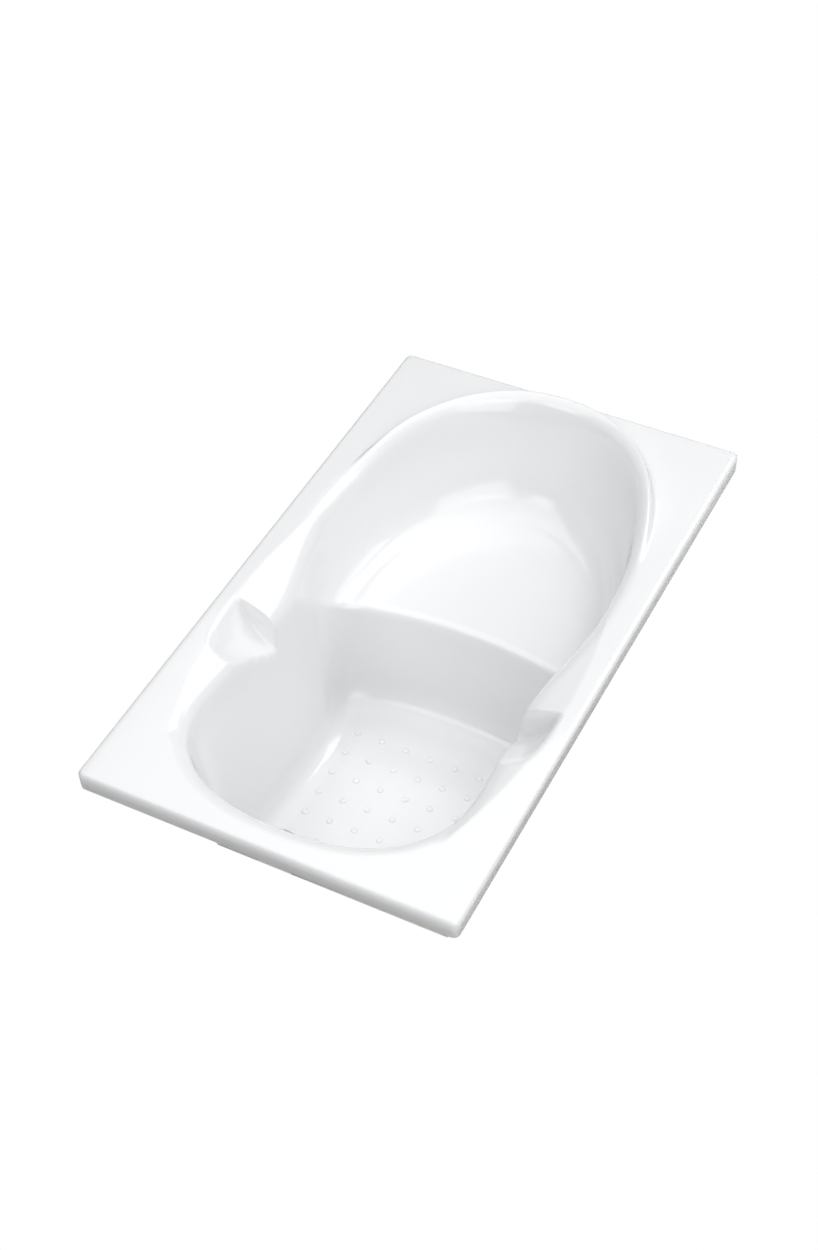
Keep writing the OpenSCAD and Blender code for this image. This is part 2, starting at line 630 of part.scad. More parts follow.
// Along the hose where it comes in
module at_inlet(across = 0, up = 0) {
    translate([across, 0, inlet_z + up]) rotate([90, 0, 0]) children();
}
module waste_body() {
    top = well_under - washer_t;
    roof = well_under - neck_l - 2;
    socket_end = chamber_r + 8;
    color("white") at_waste() difference() {
        union() {
            translate([0, 0, chamber_z - 3]) cylinder(r = chamber_r, h = top - chamber_z + 3);
            translate([0, 0, spout_z]) cylinder(r = spout_r, h = chamber_z - spout_z);
            at_inlet() cylinder(r = hose_bore - slip, h = socket_end + spigot_l);
            at_inlet() cylinder(r = hose_r + 2, h = socket_end);
            at_inlet(crank_x, -crank) cylinder(r = guide_r, h = socket_end);
        }
        translate([0, 0, roof - 1]) cylinder(r = neck_r + slip, h = top - roof + 2);
        translate([0, 0, chamber_z]) cylinder(r = chamber_in, h = roof - chamber_z);
        translate([0, 0, spout_z - 1]) cylinder(r = spout_r - 2.5, h = chamber_z - spout_z + 2);
        at_inlet() cylinder(r = hose_bore - 2.5, h = socket_end + spigot_l + 1);
        at_inlet(crank_x, -crank) cylinder(r = cable_r + slip, h = socket_end + 1);
        translate([0, pin_y, pin_z]) rotate([0, 90, 0])
            cylinder(r = pin_r + slip, h = 2 * chamber_r, center = true);
    }
}
module plug() {
    color("gainsboro") at_waste(flange_z) rotate_extrude() polygon([[0, 4.2], [12, 3.8], [22, 2.9],
        [28, 1.4], [29.5, 0.35], [29, 0.05], [19, 0.05], [18, -4.5], [stem_r, -4.5],
        [stem_r, stem_z - flange_z], [0, stem_z - flange_z]]);
}
module plug_seal() {
    color("dimgray") at_waste(flange_z) rotate_extrude() polygon([[19, 0], [20.6, 0], [21, -1.4],
        [20.4, -3], [18.4, -3]]);
}
// Rocker under the plug's stem, with a crank for the wire beside it
module lifter_arm() {
    color("white") at_waste() translate([0, pin_y, pin_z]) difference() {
        union() {
            translate([-3, 0, 0]) rotate([0, 90, 0]) cylinder(r = hub_r, h = crank_x + 5.5);
            translate([-2.5, -pin_y, -2]) cube([5, pin_y, 4]);
            translate([-3, -pin_y, 0]) rotate([0, 90, 0]) cylinder(r = hub_r, h = 6);
            translate([crank_x - 2.5, -3, -crank]) cube([5, 6, crank]);
            translate([crank_x - 2.5, 0, -crank]) rotate([0, 90, 0]) cylinder(r = 3, h = 5);
        }
        translate([-5, 0, 0]) rotate([0, 90, 0]) cylinder(r = pin_r + slip, h = crank_x + 10);
        translate([crank_x - 5, 0, -crank]) rotate([0, 90, 0]) cylinder(r = 0.8, h = 10);
    }
}
module lifter_pin() {
    color("silver") at_waste() translate([0, pin_y, pin_z]) rotate([0, 90, 0])
        cylinder(r = pin_r, h = 2 * chamber_r - 10, center = true);
}

// ---- Shallow trap: the spout dips into a cup, and water leaves over a weir ----
trap_r = 46;
trap_low = 8;
trap_top = 62;
trap_wall = 2.5;
collar_r = 23;
collar_h = 10;
weir_r = 32.5;
weir_top = 50;
outlet_r = 20;
outlet_z = 38;
outlet_end = -585;
stop_r = 23;                                // shoulder that a socket on the outlet stops at
stop_y = -447;
module trap_body() {
    inside = trap_low + trap_wall;
    reach = waste_y - outlet_end;
    color("white") at_waste() difference() {
        union() {
            translate([0, 0, trap_low]) cylinder(r = trap_r, h = trap_top - trap_low);
            translate([0, 0, trap_top - 1]) cylinder(r = collar_r, h = collar_h + 1);
            translate([0, 0, outlet_z]) rotate([90, 0, 0]) union() {
                cylinder(r = outlet_r, h = reach);
                cylinder(r = stop_r, h = waste_y - stop_y);
            }
        }
        difference() {
            translate([0, 0, inside]) cylinder(r = trap_r - trap_wall, h = trap_top - trap_wall - inside);
            translate([0, 0, inside - 1]) difference() {
                cylinder(r = weir_r, h = weir_top - inside + 1);
                cylinder(r = weir_r - trap_wall, h = weir_top - inside + 2);
            }
        }
        translate([0, 0, trap_top - 5]) cylinder(r = spout_r + slip, h = collar_h + 10);
        translate([0, -weir_r - 1, outlet_z]) rotate([90, 0, 0])
            cylinder(r = outlet_r - trap_wall, h = reach);
    }
}
module trap_nut() {
    color("white") at_waste(trap_top + 1) difference() {
        union() {
            cylinder(r = collar_r + 5, h = 13);
            for (a = [0:45:315]) rotate(a) translate([collar_r + 4, 0, 1]) cylinder(r = 2.5, h = 11);
        }
        translate([0, 0, -1]) cylinder(r = collar_r + slip, h = collar_h);
        translate([0, 0, -1]) cylinder(r = spout_r + slip, h = 20);
    }
}

// ---- Way of the hose: down behind the foot end wall, round and in to the waste ----
overflow_drop = 88;
hose_r = 15;
hose_bore = 12.5;
hose_back = 28;                             // hose centre behind the wall's inner face
hose_bend = 50;
hose_sides = 12;
rib_h = 1.8;
rib_step = 7;
flat_x = 36;                                // the wall is flat this far from its middle
lean = atan(end_t);                         // lean of the foot end wall
overflow_y = foot_y - oval_y(flat_x, foot_w, near_l, foot_n) + end_t * overflow_drop;
overflow_z = deck_z - overflow_drop;
hose_run = (overflow_z - inlet_z + (hose_bend - hose_back) * sin(lean) - hose_bend) / cos(lean);
bend_mid = [overflow_y + hose_run * sin(lean) + (hose_bend - hose_back) * cos(lean), inlet_z + hose_bend];
bend_l = hose_bend * (90 - lean) * PI / 180;
hose_from = 36;                             // end of the overflow's socket
hose_to = hose_run + bend_l + waste_y - chamber_r - 8 - bend_mid.x;

// Y and Z of the hose's centre after a length s, and the side it bends away from
function way(s) =
    let (a = lean + 180 / PI * min(bend_l, max(0, s - hose_run)) / hose_bend,
         away = [-cos(a), -sin(a)],
         along = min(0, s - hose_run) + max(0, s - hose_run - bend_l))
    [bend_mid + hose_bend * away + along * [sin(a), -cos(a)], away];
// Ring of points round the way, shifted across and away from its centre
function way_ring(s, r, sides, across, off) = let (w = way(s))
    [for (i = [0:sides - 1]) let (a = 360 * i / sides, p = w[0] + w[1] * (off + r * sin(a)))
        [across + r * cos(a), p.x, p.y]];
function strip(n, from, to, flip) = [for (i = [0:n - 1]) let (j = (i + 1) % n)
    flip ? [from + i, to + i, to + j, from + j] : [from + j, to + j, to + i, from + i]];
function strips(n, rings, id0, flip) = [
    for (r = [0:rings - 2]) each strip(n, id0 + r * n, id0 + r * n + n, flip)];

// Frame square to the foot end wall: Z points into the basin and Y down the wall
module at_overflow(z = 0) {
    translate([0, overflow_y, overflow_z]) rotate([lean - 90, 0, 0]) translate([0, 0, z]) children();
}
module along_wall(v, across = 0, back = hose_back) {
    at_overflow(-back) translate([across, v, 0]) rotate([-90, 0, 0]) children();
}
module overflow_hose() {
    plain = 2 * hose_r;
    ribs = floor((hose_to - hose_from - 1.5 * plain) / rib_step);
    outer = concat([[hose_from, 0]],
        [for (i = [0:ribs - 1], u = [0, 0.5]) [hose_from + plain + (i + u) * rib_step, 2 * u * rib_h]],
        [[hose_from + plain + ribs * rib_step, 0], [hose_to, 0]]);
    inner = concat([hose_from, hose_run], [for (u = [0.2:0.2:1]) hose_run + u * bend_l], [hose_to]);
    m = len(outer);
    n = len(inner);
    id0 = m * hose_sides;
    bore = hose_bore / cos(180 / hose_sides);
    color("gainsboro") polyhedron(
        concat([for (o = outer) each way_ring(o[0], hose_r + o[1], hose_sides, 0, 0)],
            [for (s = inner) each way_ring(s, bore, hose_sides, 0, 0)]),
        concat(strips(hose_sides, m, 0, true), strips(hose_sides, n, id0, false),
            strip(hose_sides, 0, id0, false),
            strip(hose_sides, id0 - hose_sides, id0 + (n - 1) * hose_sides, true)),
        convexity = 6);
}
module hose_nut() {
    difference() {
        union() {
            cylinder(r = hose_r + 4, h = 11);
            for (a = [0:40:320]) rotate(a) translate([hose_r + 3.5, 0, 0]) cylinder(r = 1.6, h = 11);
        }
        translate([0, 0, -1]) cylinder(r = hose_r + slip, h = 13);
    }
}
module hose_nuts() {
    color("dimgray") {
        along_wall(hose_from) hose_nut();
        at_waste(inlet_z) translate([0, -chamber_r - 8, 0]) rotate([90, 0, 0]) hose_nut();
    }
}
// Sheathed cable: it leaves the overflow behind the hose and comes in beside it at the waste
cable_top = [6, 23.5];                      // across and away from the hose's centre
cable_foot = [crank_x, crank];
cable_from = 24;
cable_sides = 10;
module control_cable() {
    last = hose_to + 0.01;
    steps = 26;
    stations = [for (i = [0:steps]) mix(cable_from, last, i / steps)];
    color("dimgray") polyhedron(
        [for (s = stations)
            let (at = mix(cable_top, cable_foot, ramp(s, hose_from + 40, hose_run - 10)))
            each way_ring(s, cable_r, cable_sides, at.x, at.y)],
        concat(strips(cable_sides, steps + 1, 0, true), [[for (i = [0:cable_sides - 1]) i],
            [for (i = [cable_sides - 1:-1:0]) steps * cable_sides + i]]), convexity = 6);
}

// ---- Overflow ----
spindle_r = 4;
seal_t = 3;
plate_t = 3;
body_front = -shell_t - seal_t - 0.15;
body_back = -hose_back - hose_r - 2;
cam_z = -hose_back - cable_top.y;           // the wire's level
module overflow_plate() {
    color("gainsboro") at_overflow() difference() {
        union() {
            rotate_extrude() polygon([[15.5, -24], [19.5, -24], [19.5, 0], [31, 0], [31.5, 0.6],
                [30, 2.4], [26, plate_t], [15.5, plate_t]]);
            translate([0, 0, -6]) cylinder(r = 7.5, h = 10);
            for (a = [30, 150, 270]) rotate(a) translate([4, -1.5, -6]) cube([13, 3, 7]);
        }
        translate([0, 0, -30]) cylinder(r = spindle_r + slip, h = 60);
    }
}
module overflow_gasket() {
    color("dimgray") at_overflow(body_front) flat_ring(30, overflow_hole, seal_t);
}
module overflow_body() {
    color("white") at_overflow() difference() {
        union() {
            translate([0, 0, body_back]) cylinder(r = 30, h = body_front - body_back);
            translate([0, 0, cam_z - 5]) cylinder(r = 14, h = body_back - cam_z + 6);
            translate([0, 0, -hose_back]) rotate([-90, 0, 0]) union() {
                cylinder(r = hose_bore - slip, h = hose_from + spigot_l);
                cylinder(r = hose_r + 2, h = hose_from);
            }
            translate([cable_top.x, 0, cam_z]) rotate([-90, 0, 0])
                cylinder(r = guide_r, h = hose_from - 3);
        }
        translate([0, 0, body_back + 3]) cylinder(r = 26.5, h = body_front - body_back - 8);
        translate([0, 0, body_front - 6]) cylinder(r = 19.5 + slip, h = 10);
        translate([0, 0, cam_z - 6]) cylinder(r = 11.5, h = body_back - cam_z + 5);
        translate([0, 0, body_back - 2]) cylinder(r = spindle_r + slip, h = 10);
        translate([0, 0, -hose_back]) rotate([-90, 0, 0]) cylinder(r = hose_bore - 2.5, h = 60);
        translate([cable_top.x, 0, cam_z]) rotate([-90, 0, 0]) cylinder(r = cable_r + slip, h = 60);
    }
}
// The knob, with finger scallops round its edge, and its spindle
module overflow_knob() {
    color("gainsboro") at_overflow() {
        difference() {
            rotate_extrude() polygon([[0, 10], [20, 10], [20, 7], [34, 7], [35.5, 9], [35.5, 15],
                [33, 18.5], [26, 20.5], [12, 21.4], [0, 21.6]]);
            for (a = [0:60:300]) rotate(a) translate([41, 0, 5]) cylinder(r = 9, h = 30);
        }
        translate([0, 0, cam_z]) cylinder(r = spindle_r, h = 12 - cam_z);
    }
}
module cable_cam() {
    color("white") at_overflow(cam_z - 3) difference() {
        cylinder(r = 10.5, h = 5.5);
        translate([0, 0, 3]) cylinder(r = spindle_r, h = 10);
        translate([cable_top.x, 0, -1]) cylinder(r = 1, h = 10);
        translate([4.5, -7, -1]) cube([3, 7, 2.5]);
    }
}

bath_shell();
base_board();
seat_board();
side_batten_left();
side_batten_right();
end_batten();
rail_left();
rail_right();
cross_tube_front();
cross_tube_middle();
cross_tube_rear();
seat_post_front_left();
seat_post_front_right();
seat_post_rear_left();
seat_post_rear_right();
seat_tube_front();
seat_tube_rear();
tube_caps();
board_screws();
seat_board_screws();
lock_nuts();
foot_rod_front_left();
foot_rod_front_right();
foot_rod_rear_left();
foot_rod_rear_right();
foot_pad_front_left();
foot_pad_front_right();
foot_pad_rear_left();
foot_pad_rear_right();
waste_flange();
waste_gasket();
waste_washer();
waste_body();
plug();
plug_seal();
lifter_arm();
lifter_pin();
trap_body();
trap_nut();
overflow_plate();
overflow_gasket();
overflow_body();
overflow_knob();
cable_cam();
overflow_hose();
hose_nuts();
control_cable();
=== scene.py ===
import json
import math
import bmesh
import bpy
import numpy as np
from mathutils import Matrix, Vector


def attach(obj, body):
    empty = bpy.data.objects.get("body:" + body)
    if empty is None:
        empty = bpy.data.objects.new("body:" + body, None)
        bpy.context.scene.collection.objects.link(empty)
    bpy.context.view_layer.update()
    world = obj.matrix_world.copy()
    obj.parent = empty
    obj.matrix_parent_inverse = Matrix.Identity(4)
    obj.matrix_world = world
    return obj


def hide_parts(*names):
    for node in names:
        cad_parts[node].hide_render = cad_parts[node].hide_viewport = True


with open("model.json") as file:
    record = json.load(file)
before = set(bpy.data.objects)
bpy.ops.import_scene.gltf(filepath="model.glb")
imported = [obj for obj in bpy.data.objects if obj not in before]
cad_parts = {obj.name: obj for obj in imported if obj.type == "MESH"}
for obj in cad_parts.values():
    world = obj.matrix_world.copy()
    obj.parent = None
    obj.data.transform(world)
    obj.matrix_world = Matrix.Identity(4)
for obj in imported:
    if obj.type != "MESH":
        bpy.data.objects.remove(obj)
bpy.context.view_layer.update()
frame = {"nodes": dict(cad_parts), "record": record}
print("frame loaded:", len(frame["nodes"]), "nodes")

mm = 0.001

bathSizes = {  # millimetres, with X across the tub, Y along it and depths measured down from the deck
    "rimL": 1200, "rimW": 700, "deckZ": 565, "lipH": 37, "lipR": 8, "shellT": 7, "cornerR": 12,
    # outline of the opening: half widths, their places along Y, and the roundness of its two ends
    "lobeW": 281, "waistW": 244, "footW": 255, "lobeY": 120, "waistY": -120, "footY": -340,
    "farY": 564, "nearY": -542, "lobeN": 2.22, "footN": 2.4,
    # seat and foot well: depths, the bowed front edge of the seat, and how the two floors fall
    "seatDepth": 195, "wellDepth": 410, "crestY": 125, "crestBow": 22, "crestHalf": 200,
    "seatFall": 0.015, "wellFall": 0.025, "wellY": 40, "levelY": -335,
    # run over drop of the side walls, the seat's back, the foot end and the step
    "sideT": 0.10, "backT": 0.38, "endT": 0.12, "stepT": 0.16,
    # roundings from deck to wall, wall to seat, wall to well floor, seat to step, and step to side wall
    "rollK": 32, "seatK": 60, "wellK": 50, "crestK": 15, "cornerK": 80,
    "rollTo": 90, "wellFrom": 100,  # depth of wall that the roll may reach, and depth below the seat
    # arm rests: the crease at their outer side, how it bows in, and their drop over run
    "armY": -110, "armX": 318, "armBow": 44, "armReach": 300, "armSlope": 0.32,
    # raised ring: how far out from the wall line its foot and top lie, and where it rises along Y
    "ringH": 24, "ringFoot": 28, "ringTop": 16, "ringFrom": 215, "ringTo": 420,
    # hand grips, rounder and deeper than the solid's: edges, flare, slopes of the sides, and roundings
    "gripY": -134, "gripX": 317, "gripL": 109, "gripIn": 150, "gripFlare": 0.95,
    "gripSteep": 0.06, "gripOut": 0.48, "gripGentle": 0.55, "gripFloorK": 44, "gripWallK": 18,
    "gripK": 8, "gripLeastK": 2, "gripLeastSlant": 0.3, "gripFadeFrom": -6, "gripFadeTo": 9,
}
b = bathSizes
nearLength, farLength = b["footY"] - b["nearY"], b["farY"] - b["lobeY"]


def mix(a, c, t):
    return a + (c - a) * t


def ease(t):
    c = np.clip(t, 0, 1)
    return c * c * (3 - 2 * c)


def ramp(v, lo, hi):
    return ease((v - lo) / (hi - lo))


def sideWidth(y):
    return np.where(y > b["waistY"], mix(b["waistW"], b["lobeW"], ramp(y, b["waistY"], b["lobeY"])),
                    mix(b["waistW"], b["footW"], ramp(y, b["waistY"], b["footY"])))


def sideLean(y):
    return (sideWidth(y + 1) - sideWidth(y - 1)) / 2


def endIn(x, y, a, c, n):  # distance in from a rounded end, and how far its wall faces along Y and X
    x, y = np.maximum(x, 0.01), np.maximum(y, 0.0)
    r = ((x / a) ** n + (y / c) ** n) ** (1 / n)
    k = r ** (1 - n)
    gx, gy = k * (x / a) ** (n - 1) / a, k * (y / c) ** (n - 1) / c
    g = np.hypot(gx, gy)
    return (1 - r) / g, gy / g, gx / g


def farIn(x, y):
    return endIn(x, y - b["lobeY"], b["lobeW"], farLength, b["lobeN"])


def nearIn(x, y):
    return endIn(x, b["footY"] - y, b["footW"], nearLength, b["footN"])


def wallIn(x, y):  # distance in from the wall line, and how far the wall there faces along Y
    ax = np.maximum(abs(x), 0.01)
    (far, farFace, _), (near, nearFace, _) = farIn(ax, y), nearIn(ax, y)
    side = (sideWidth(y) - ax) / np.hypot(1, sideLean(y))
    isFar, isNear = y > b["lobeY"], y < b["footY"]
    return (np.where(isFar, far, np.where(isNear, near, side)),
            np.where(isFar, farFace, np.where(isNear, nearFace, 0)))


def meet(d1, c1, d2, c2, k, s):  # depth where two slanted faces meet in a rounding of width k
    first = s * (d1 - d2) > 0
    pure = np.where(first, d1, d2)
    gap = abs(d1 - d2) * np.where(first, c2, c1)
    p1, p2 = c1 * d1, c2 * d2
    dp, dc = p1 - p2, c1 - c2
    q = -2 * k * s * (c1 + c2) - 2 * dp * dc
    c = 2 * k * s * (p1 + p2) + k * k + dp * dp
    root = np.sqrt(np.maximum(0, q * q - 4 * dc * dc * c))
    low = s * root - q
    return np.where(gap >= k, pure, 2 * c / np.where(abs(low) < 1e-9, 1e-9, low))


def steep(t):  # turns a drop beside a wall of slope t into a distance square to it
    return t / np.hypot(1, t)


def deckDrop(x, y, inward):
    edge = b["armX"] - b["armBow"] * ((y - b["armY"]) / b["armReach"]) ** 2
    arm = b["armSlope"] * np.maximum(0, edge - np.maximum(abs(x), sideWidth(y)))
    return arm - b["ringH"] * ramp(y, b["ringFrom"], b["ringTo"]) * ramp(-inward, b["ringFoot"], b["ringTop"])


def seatDrop(y):
    return b["seatDepth"] - b["seatFall"] * (y - b["crestY"])


def wellDrop(y):
    return b["wellDepth"] - b["wellFall"] * (np.maximum(y, b["levelY"]) - b["wellY"])


def upper(inward, slope, lip, deck, seat, t):  # deck, roll, wall and seat
    wall = lip + inward / slope
    c = steep(slope)
    return np.where(wall < b["rollTo"], meet(deck + t, 1, wall, c, b["rollK"] - t, 1),
                    meet(wall, c, seat, 1, b["seatK"] + t, -1))


def basin(x, y, t):  # drop of the basin's face, or of its underside at the offset t
    at, face = wallIn(x, y)
    slope = mix(b["sideT"], np.where(y > b["lobeY"], b["backT"], b["endT"]), ease(face))
    inward = at + t * np.hypot(1, slope)
    lip, deck = deckDrop(x, y, 0), deckDrop(x, y, at)
    seat = seatDrop(y) + t
    up = upper(inward, slope, lip, deck, seat, t)
    fall = upper(inward + 0.5, slope, lip, deck, seat, t) - upper(inward - 0.5, slope, lip, deck, seat, t)
    sideM = inward - slope * (seat - t - lip)
    stepIn = (b["crestY"] - b["crestBow"] * (x / b["crestHalf"]) ** 2 - y) / math.hypot(1, b["stepT"])
    stepM = stepIn + t * math.hypot(1, b["stepT"])
    share = ease(0.5 + (stepM - sideM) / b["cornerK"] / 2)
    run = mix(b["stepT"], slope, share)
    tie = np.maximum(0, b["cornerK"] - abs(sideM - stepM))
    wellM = np.minimum(sideM, stepM) - tie * tie / b["cornerK"] / 4
    wall = seat - t + wellM / run
    low = np.where(wall < seat + b["wellFrom"], wall,
                   meet(wall, steep(run), wellDrop(y) + t, 1, b["wellK"] + t, -1))
    crestK = np.maximum(1e-6, (b["crestK"] - t) * (1 - share))
    return meet(up, 1 / np.hypot(1, fall), low, steep(run), crestK, 1)


def softLeast(a, c, k):  # the smaller of two depths, blended over k
    return np.minimum(a, c) - np.maximum(0, k - abs(a - c)) ** 2 / (4 * k)


def grip(x, y, t):  # the depth of a hand grip, and that of its floor alone
    out = b["gripX"] - abs(x)
    far = (b["gripY"] - y + t) / b["gripSteep"]
    side = (out + t) / b["gripOut"]
    near = (y - b["gripY"] + b["gripL"] + b["gripFlare"] * out + t) * b["gripGentle"]
    floor = softLeast(side, near, b["gripFloorK"])
    square = 1 / math.hypot(1, b["gripGentle"])
    return meet(far, steep(b["gripSteep"]), floor, square, b["gripWallK"] + t, -1), floor


def slant(f0, fx, fy):
    return 1 / np.sqrt(1 + (fx - f0) ** 2 + (fy - f0) ** 2)


def drop(x, y, t=0):  # depth of the tub's face below the deck
    d = basin(x, y, t)
    zone = (y <= b["gripY"] + 2 * b["gripK"]) & (y >= b["gripY"] - 2 * b["gripL"]) & (abs(x) >= b["gripIn"])
    if not zone.any():
        return d
    xs, ys = x[zone], y[zone]
    (cut, floor), dz = grip(xs, ys, t), d[zone]
    across = slant(dz, basin(xs + 1, ys, t), basin(xs, ys + 1, t))
    cutAcross = slant(cut, grip(xs + 1, ys, t)[0], grip(xs, ys + 1, t)[0])
    cutAcross = np.maximum(b["gripLeastSlant"], cutAcross)
    # the edge is sharper where the grip's floor runs out on the wall, but never quite sharp
    sharper = 1.001 - ramp(dz - floor, b["gripFadeFrom"], b["gripFadeTo"])
    d[zone] = meet(dz, across, cut, cutAcross, max(b["gripLeastK"], b["gripK"] - t) * sharper, 1)
    return d


netSizes = {  # the mesh of the tub's face, in millimetres
    "step": 2.25, "midStep": 5.0, "fineReach": 62, "halfCols": 240,  # fine near the walls, coarser between
    "gripRows": (-165, 14), "crestRows": (-92, 22),  # rows at the fine step, from the grip's and seat's edge
    "nearRun": 60, "farRun": 150, "farRows": 55, "before": 2, "after": 4,
    "topShares": 17, "topRuns": (27.5, -5, -2), "innerShares": (0.2, 0.4, 0.6, 0.8),
    "underShares": 8, "underRuns": (28, 23, 18, 13, 8, 3),
    "sideIn": 12, "nearIn": 14, "farIn": 50,  # how far inside the wall line the rings end
    "nearPull": 40, "bowFrom": (-90, 10), "bowTo": (170, 260),
}
lipArc = [0, 0.03, 0.12, 0.27, 0.45, 0.64, 0.82, 1]  # places round the lip's rounded top edge


def cornerPoint(n, a, c):  # where a rounded end hands over to the sides
    return a * math.cos(math.pi / 4) ** (2 / n), c * math.sin(math.pi / 4) ** (2 / n)


def spacing(lo, hi, fine, coarse, reach):  # fine near both ends, coarser between
    head = np.arange(0, reach, fine)
    count = max(2, round((hi - lo - 2 * reach) / coarse))
    return np.concatenate([lo + head, np.linspace(lo + reach, hi - reach, count + 1), (hi - head)[::-1]])


nearX, nearRise = cornerPoint(b["footN"], b["footW"], nearLength)
farX, farRise = cornerPoint(b["lobeN"], b["lobeW"], farLength)
nearCornerY, farCornerY = b["footY"] - nearRise, b["lobeY"] + farRise


def netLines():  # columns from -1 to 1 and rows along Y, an even number of steps each
    s = netSizes
    fine, mid, half = s["step"], s["midStep"], s["halfCols"]
    cols = spacing(-half, half, fine, mid, s["fineReach"]) / half
    gripRows = np.arange(b["gripY"] + s["gripRows"][0], b["gripY"] + s["gripRows"][1], fine)
    crestRows = b["crestY"] - b["crestBow"] + np.arange(*s["crestRows"], fine)
    nearTo, farFrom = nearCornerY + s["nearRun"], farCornerY - s["farRun"]
    rows = np.concatenate([
        np.arange(nearCornerY, nearTo, fine), np.arange(nearTo, gripRows[0] - s["before"], mid), gripRows,
        np.arange(gripRows[-1] + s["after"], crestRows[0] - s["before"], mid), crestRows,
        np.arange(crestRows[-1] + s["after"], farFrom, mid), np.linspace(farFrom, farCornerY, s["farRows"])])
    return [v if len(v) % 2 else np.delete(v, -2) for v in (cols, rows)]


def roundedEnd(x, a, c, n):
    return c * (1 - np.minimum(1, abs(x) / a) ** n) ** (1 / n)


def nearLine(x):  # Y of the wall line at the foot end
    return b["footY"] - roundedEnd(x, b["footW"], nearLength, b["footN"])


def farLine(x):
    return b["lobeY"] + roundedEnd(x, b["lobeW"], farLength, b["lobeN"])


def inRing(near, right, far, left):  # four rows of points as one ring
    return np.concatenate([near[:-1], right[:-1], far[::-1][:-1], left[::-1][:-1]])


def ringBase(cols, rows):  # the wall line, and its outward direction, once round the net's edge
    near = np.stack([cols * nearX, nearLine(cols * nearX)], 1)
    far = np.stack([cols * farX, farLine(cols * farX)], 1)
    farHalf = roundedEnd(rows - b["lobeY"], farLength, b["lobeW"], b["lobeN"])
    nearHalf = roundedEnd(b["footY"] - rows, nearLength, b["footW"], b["footN"])
    half = np.where(rows > b["lobeY"], farHalf, np.where(rows < b["footY"], nearHalf, sideWidth(rows)))
    points = inRing(near, np.stack([half, rows], 1), far, np.stack([-half, rows], 1))
    x, y = points.T
    side, ax = np.where(x < 0, -1, 1), np.maximum(abs(x), 0.01)
    (_, farOutY, farOutX), (_, nearOutY, nearOutX) = farIn(ax, y), nearIn(ax, y)
    flat = 1 / np.hypot(1, sideLean(y))
    outX = np.where(y > b["lobeY"], farOutX, np.where(y < b["footY"], nearOutX, flat))
    outY = np.where(y > b["lobeY"], farOutY, np.where(y < b["footY"], -nearOutY, -sideLean(y) * flat))
    return points, np.stack([side * outX, outY], 1)


def rimPoints(cols, rows, inset):  # the same ring on the rounded rectangle of the rim
    hw, hl, r = b["rimW"] / 2 - inset, b["rimL"] / 2 - inset, max(3, b["cornerR"] - inset)
    end = np.where(rows < 0, nearCornerY, farCornerY)
    spread = rows + (hl - abs(end)) * np.sign(rows) * abs(rows / end) ** 4
    near, far = (np.stack([cols * hw, np.full(len(cols), y)], 1) for y in (-hl, hl))
    right = np.stack([np.full(len(rows), hw), spread], 1)
    raw = inRing(near, right, far, right * (-1, 1))
    v = abs(raw) - (hw - r, hl - r)
    reach = np.hypot(*v.T)[:, None]
    turned = np.sign(raw) * ((hw - r, hl - r) + v * r / np.where(reach == 0, 1, reach))
    return np.where((v > 0).all(1)[:, None], turned, raw)


def onFace(points, t):
    return np.column_stack([points, b["deckZ"] - drop(points[:, 0], points[:, 1], t)])


def lipRings(cols, rows, t):  # up the lip and round its edge, or up the inside of it
    if t:
        places = [(t, b["lipH"]), (t, b["shellT"])]
    else:
        turns = [s * math.pi / 2 for s in lipArc]
        places = [(1, b["lipH"])]
        places += [(b["lipR"] * (1 - math.cos(a)), b["lipR"] * (1 - math.sin(a))) for a in turns]
    rings = [(rimPoints(cols, rows, inset), b["deckZ"] - down) for inset, down in places]
    return [np.column_stack([ring, np.full(len(ring), z)]) for ring, z in rings]


def deckRings(cols, rows, t):  # across the deck and over the roll, seen from above
    s = netSizes
    base, outward = ringBase(cols, rows)
    x, y = base.T
    facing = ease(wallIn(x, y - 0.01 * np.sign(y))[1])
    inner = -mix(s["sideIn"], np.where(y > 0, s["farIn"], s["nearIn"]), facing)[:, None]
    shares = np.linspace(0, 1, s["underShares"] if t else s["topShares"])[1:-1]
    runs = np.array(s["underRuns"]) if t else np.arange(*s["topRuns"])
    rim, first = rimPoints(cols, rows, t or b["lipR"]), base + outward * runs[0]
    reaches = [] if t else [mix(runs[-1], inner, share) for share in s["innerShares"]]
    return [mix(rim, first, share) for share in shares] + [
        base + outward * reach for reach in [*runs, *reaches, inner + t]]


def netPoints(cols, rows, edge):  # points inside the last ring, with the rows drawn towards each end's curve
    m, n, s = len(cols) - 1, len(rows) - 1, netSizes
    blend = ((cols + 1) / 2)[:, None, None]
    left, right = edge[(-np.arange(n + 1)) % len(edge)], edge[m + np.arange(n + 1)]
    nearEdge, farEdge = edge[:m + 1], edge[m + n:2 * m + n + 1][::-1]
    nearOff = nearEdge - mix(nearEdge[0], nearEdge[-1], blend[:, 0])
    farOff = farEdge - mix(farEdge[0], farEdge[-1], blend[:, 0])
    pullNear = np.clip(1 - (rows - rows[0]) / s["nearPull"], 0, 1)[None, :, None]
    pullFar = np.clip(1 - (rows[-1] - rows) / s["farRun"], 0, 1)[None, :, None]
    net = mix(left[None], right[None], blend) + pullNear * nearOff[:, None] + pullFar * farOff[:, None]
    bow = b["crestBow"] * ramp(rows, *s["bowFrom"]) * (1 - ramp(rows, *s["bowTo"]))
    net[:, :, 1] += bow[None] * (1 - cols[:, None] ** 2)
    return net[1:-1, 1:-1].reshape(-1, 2)


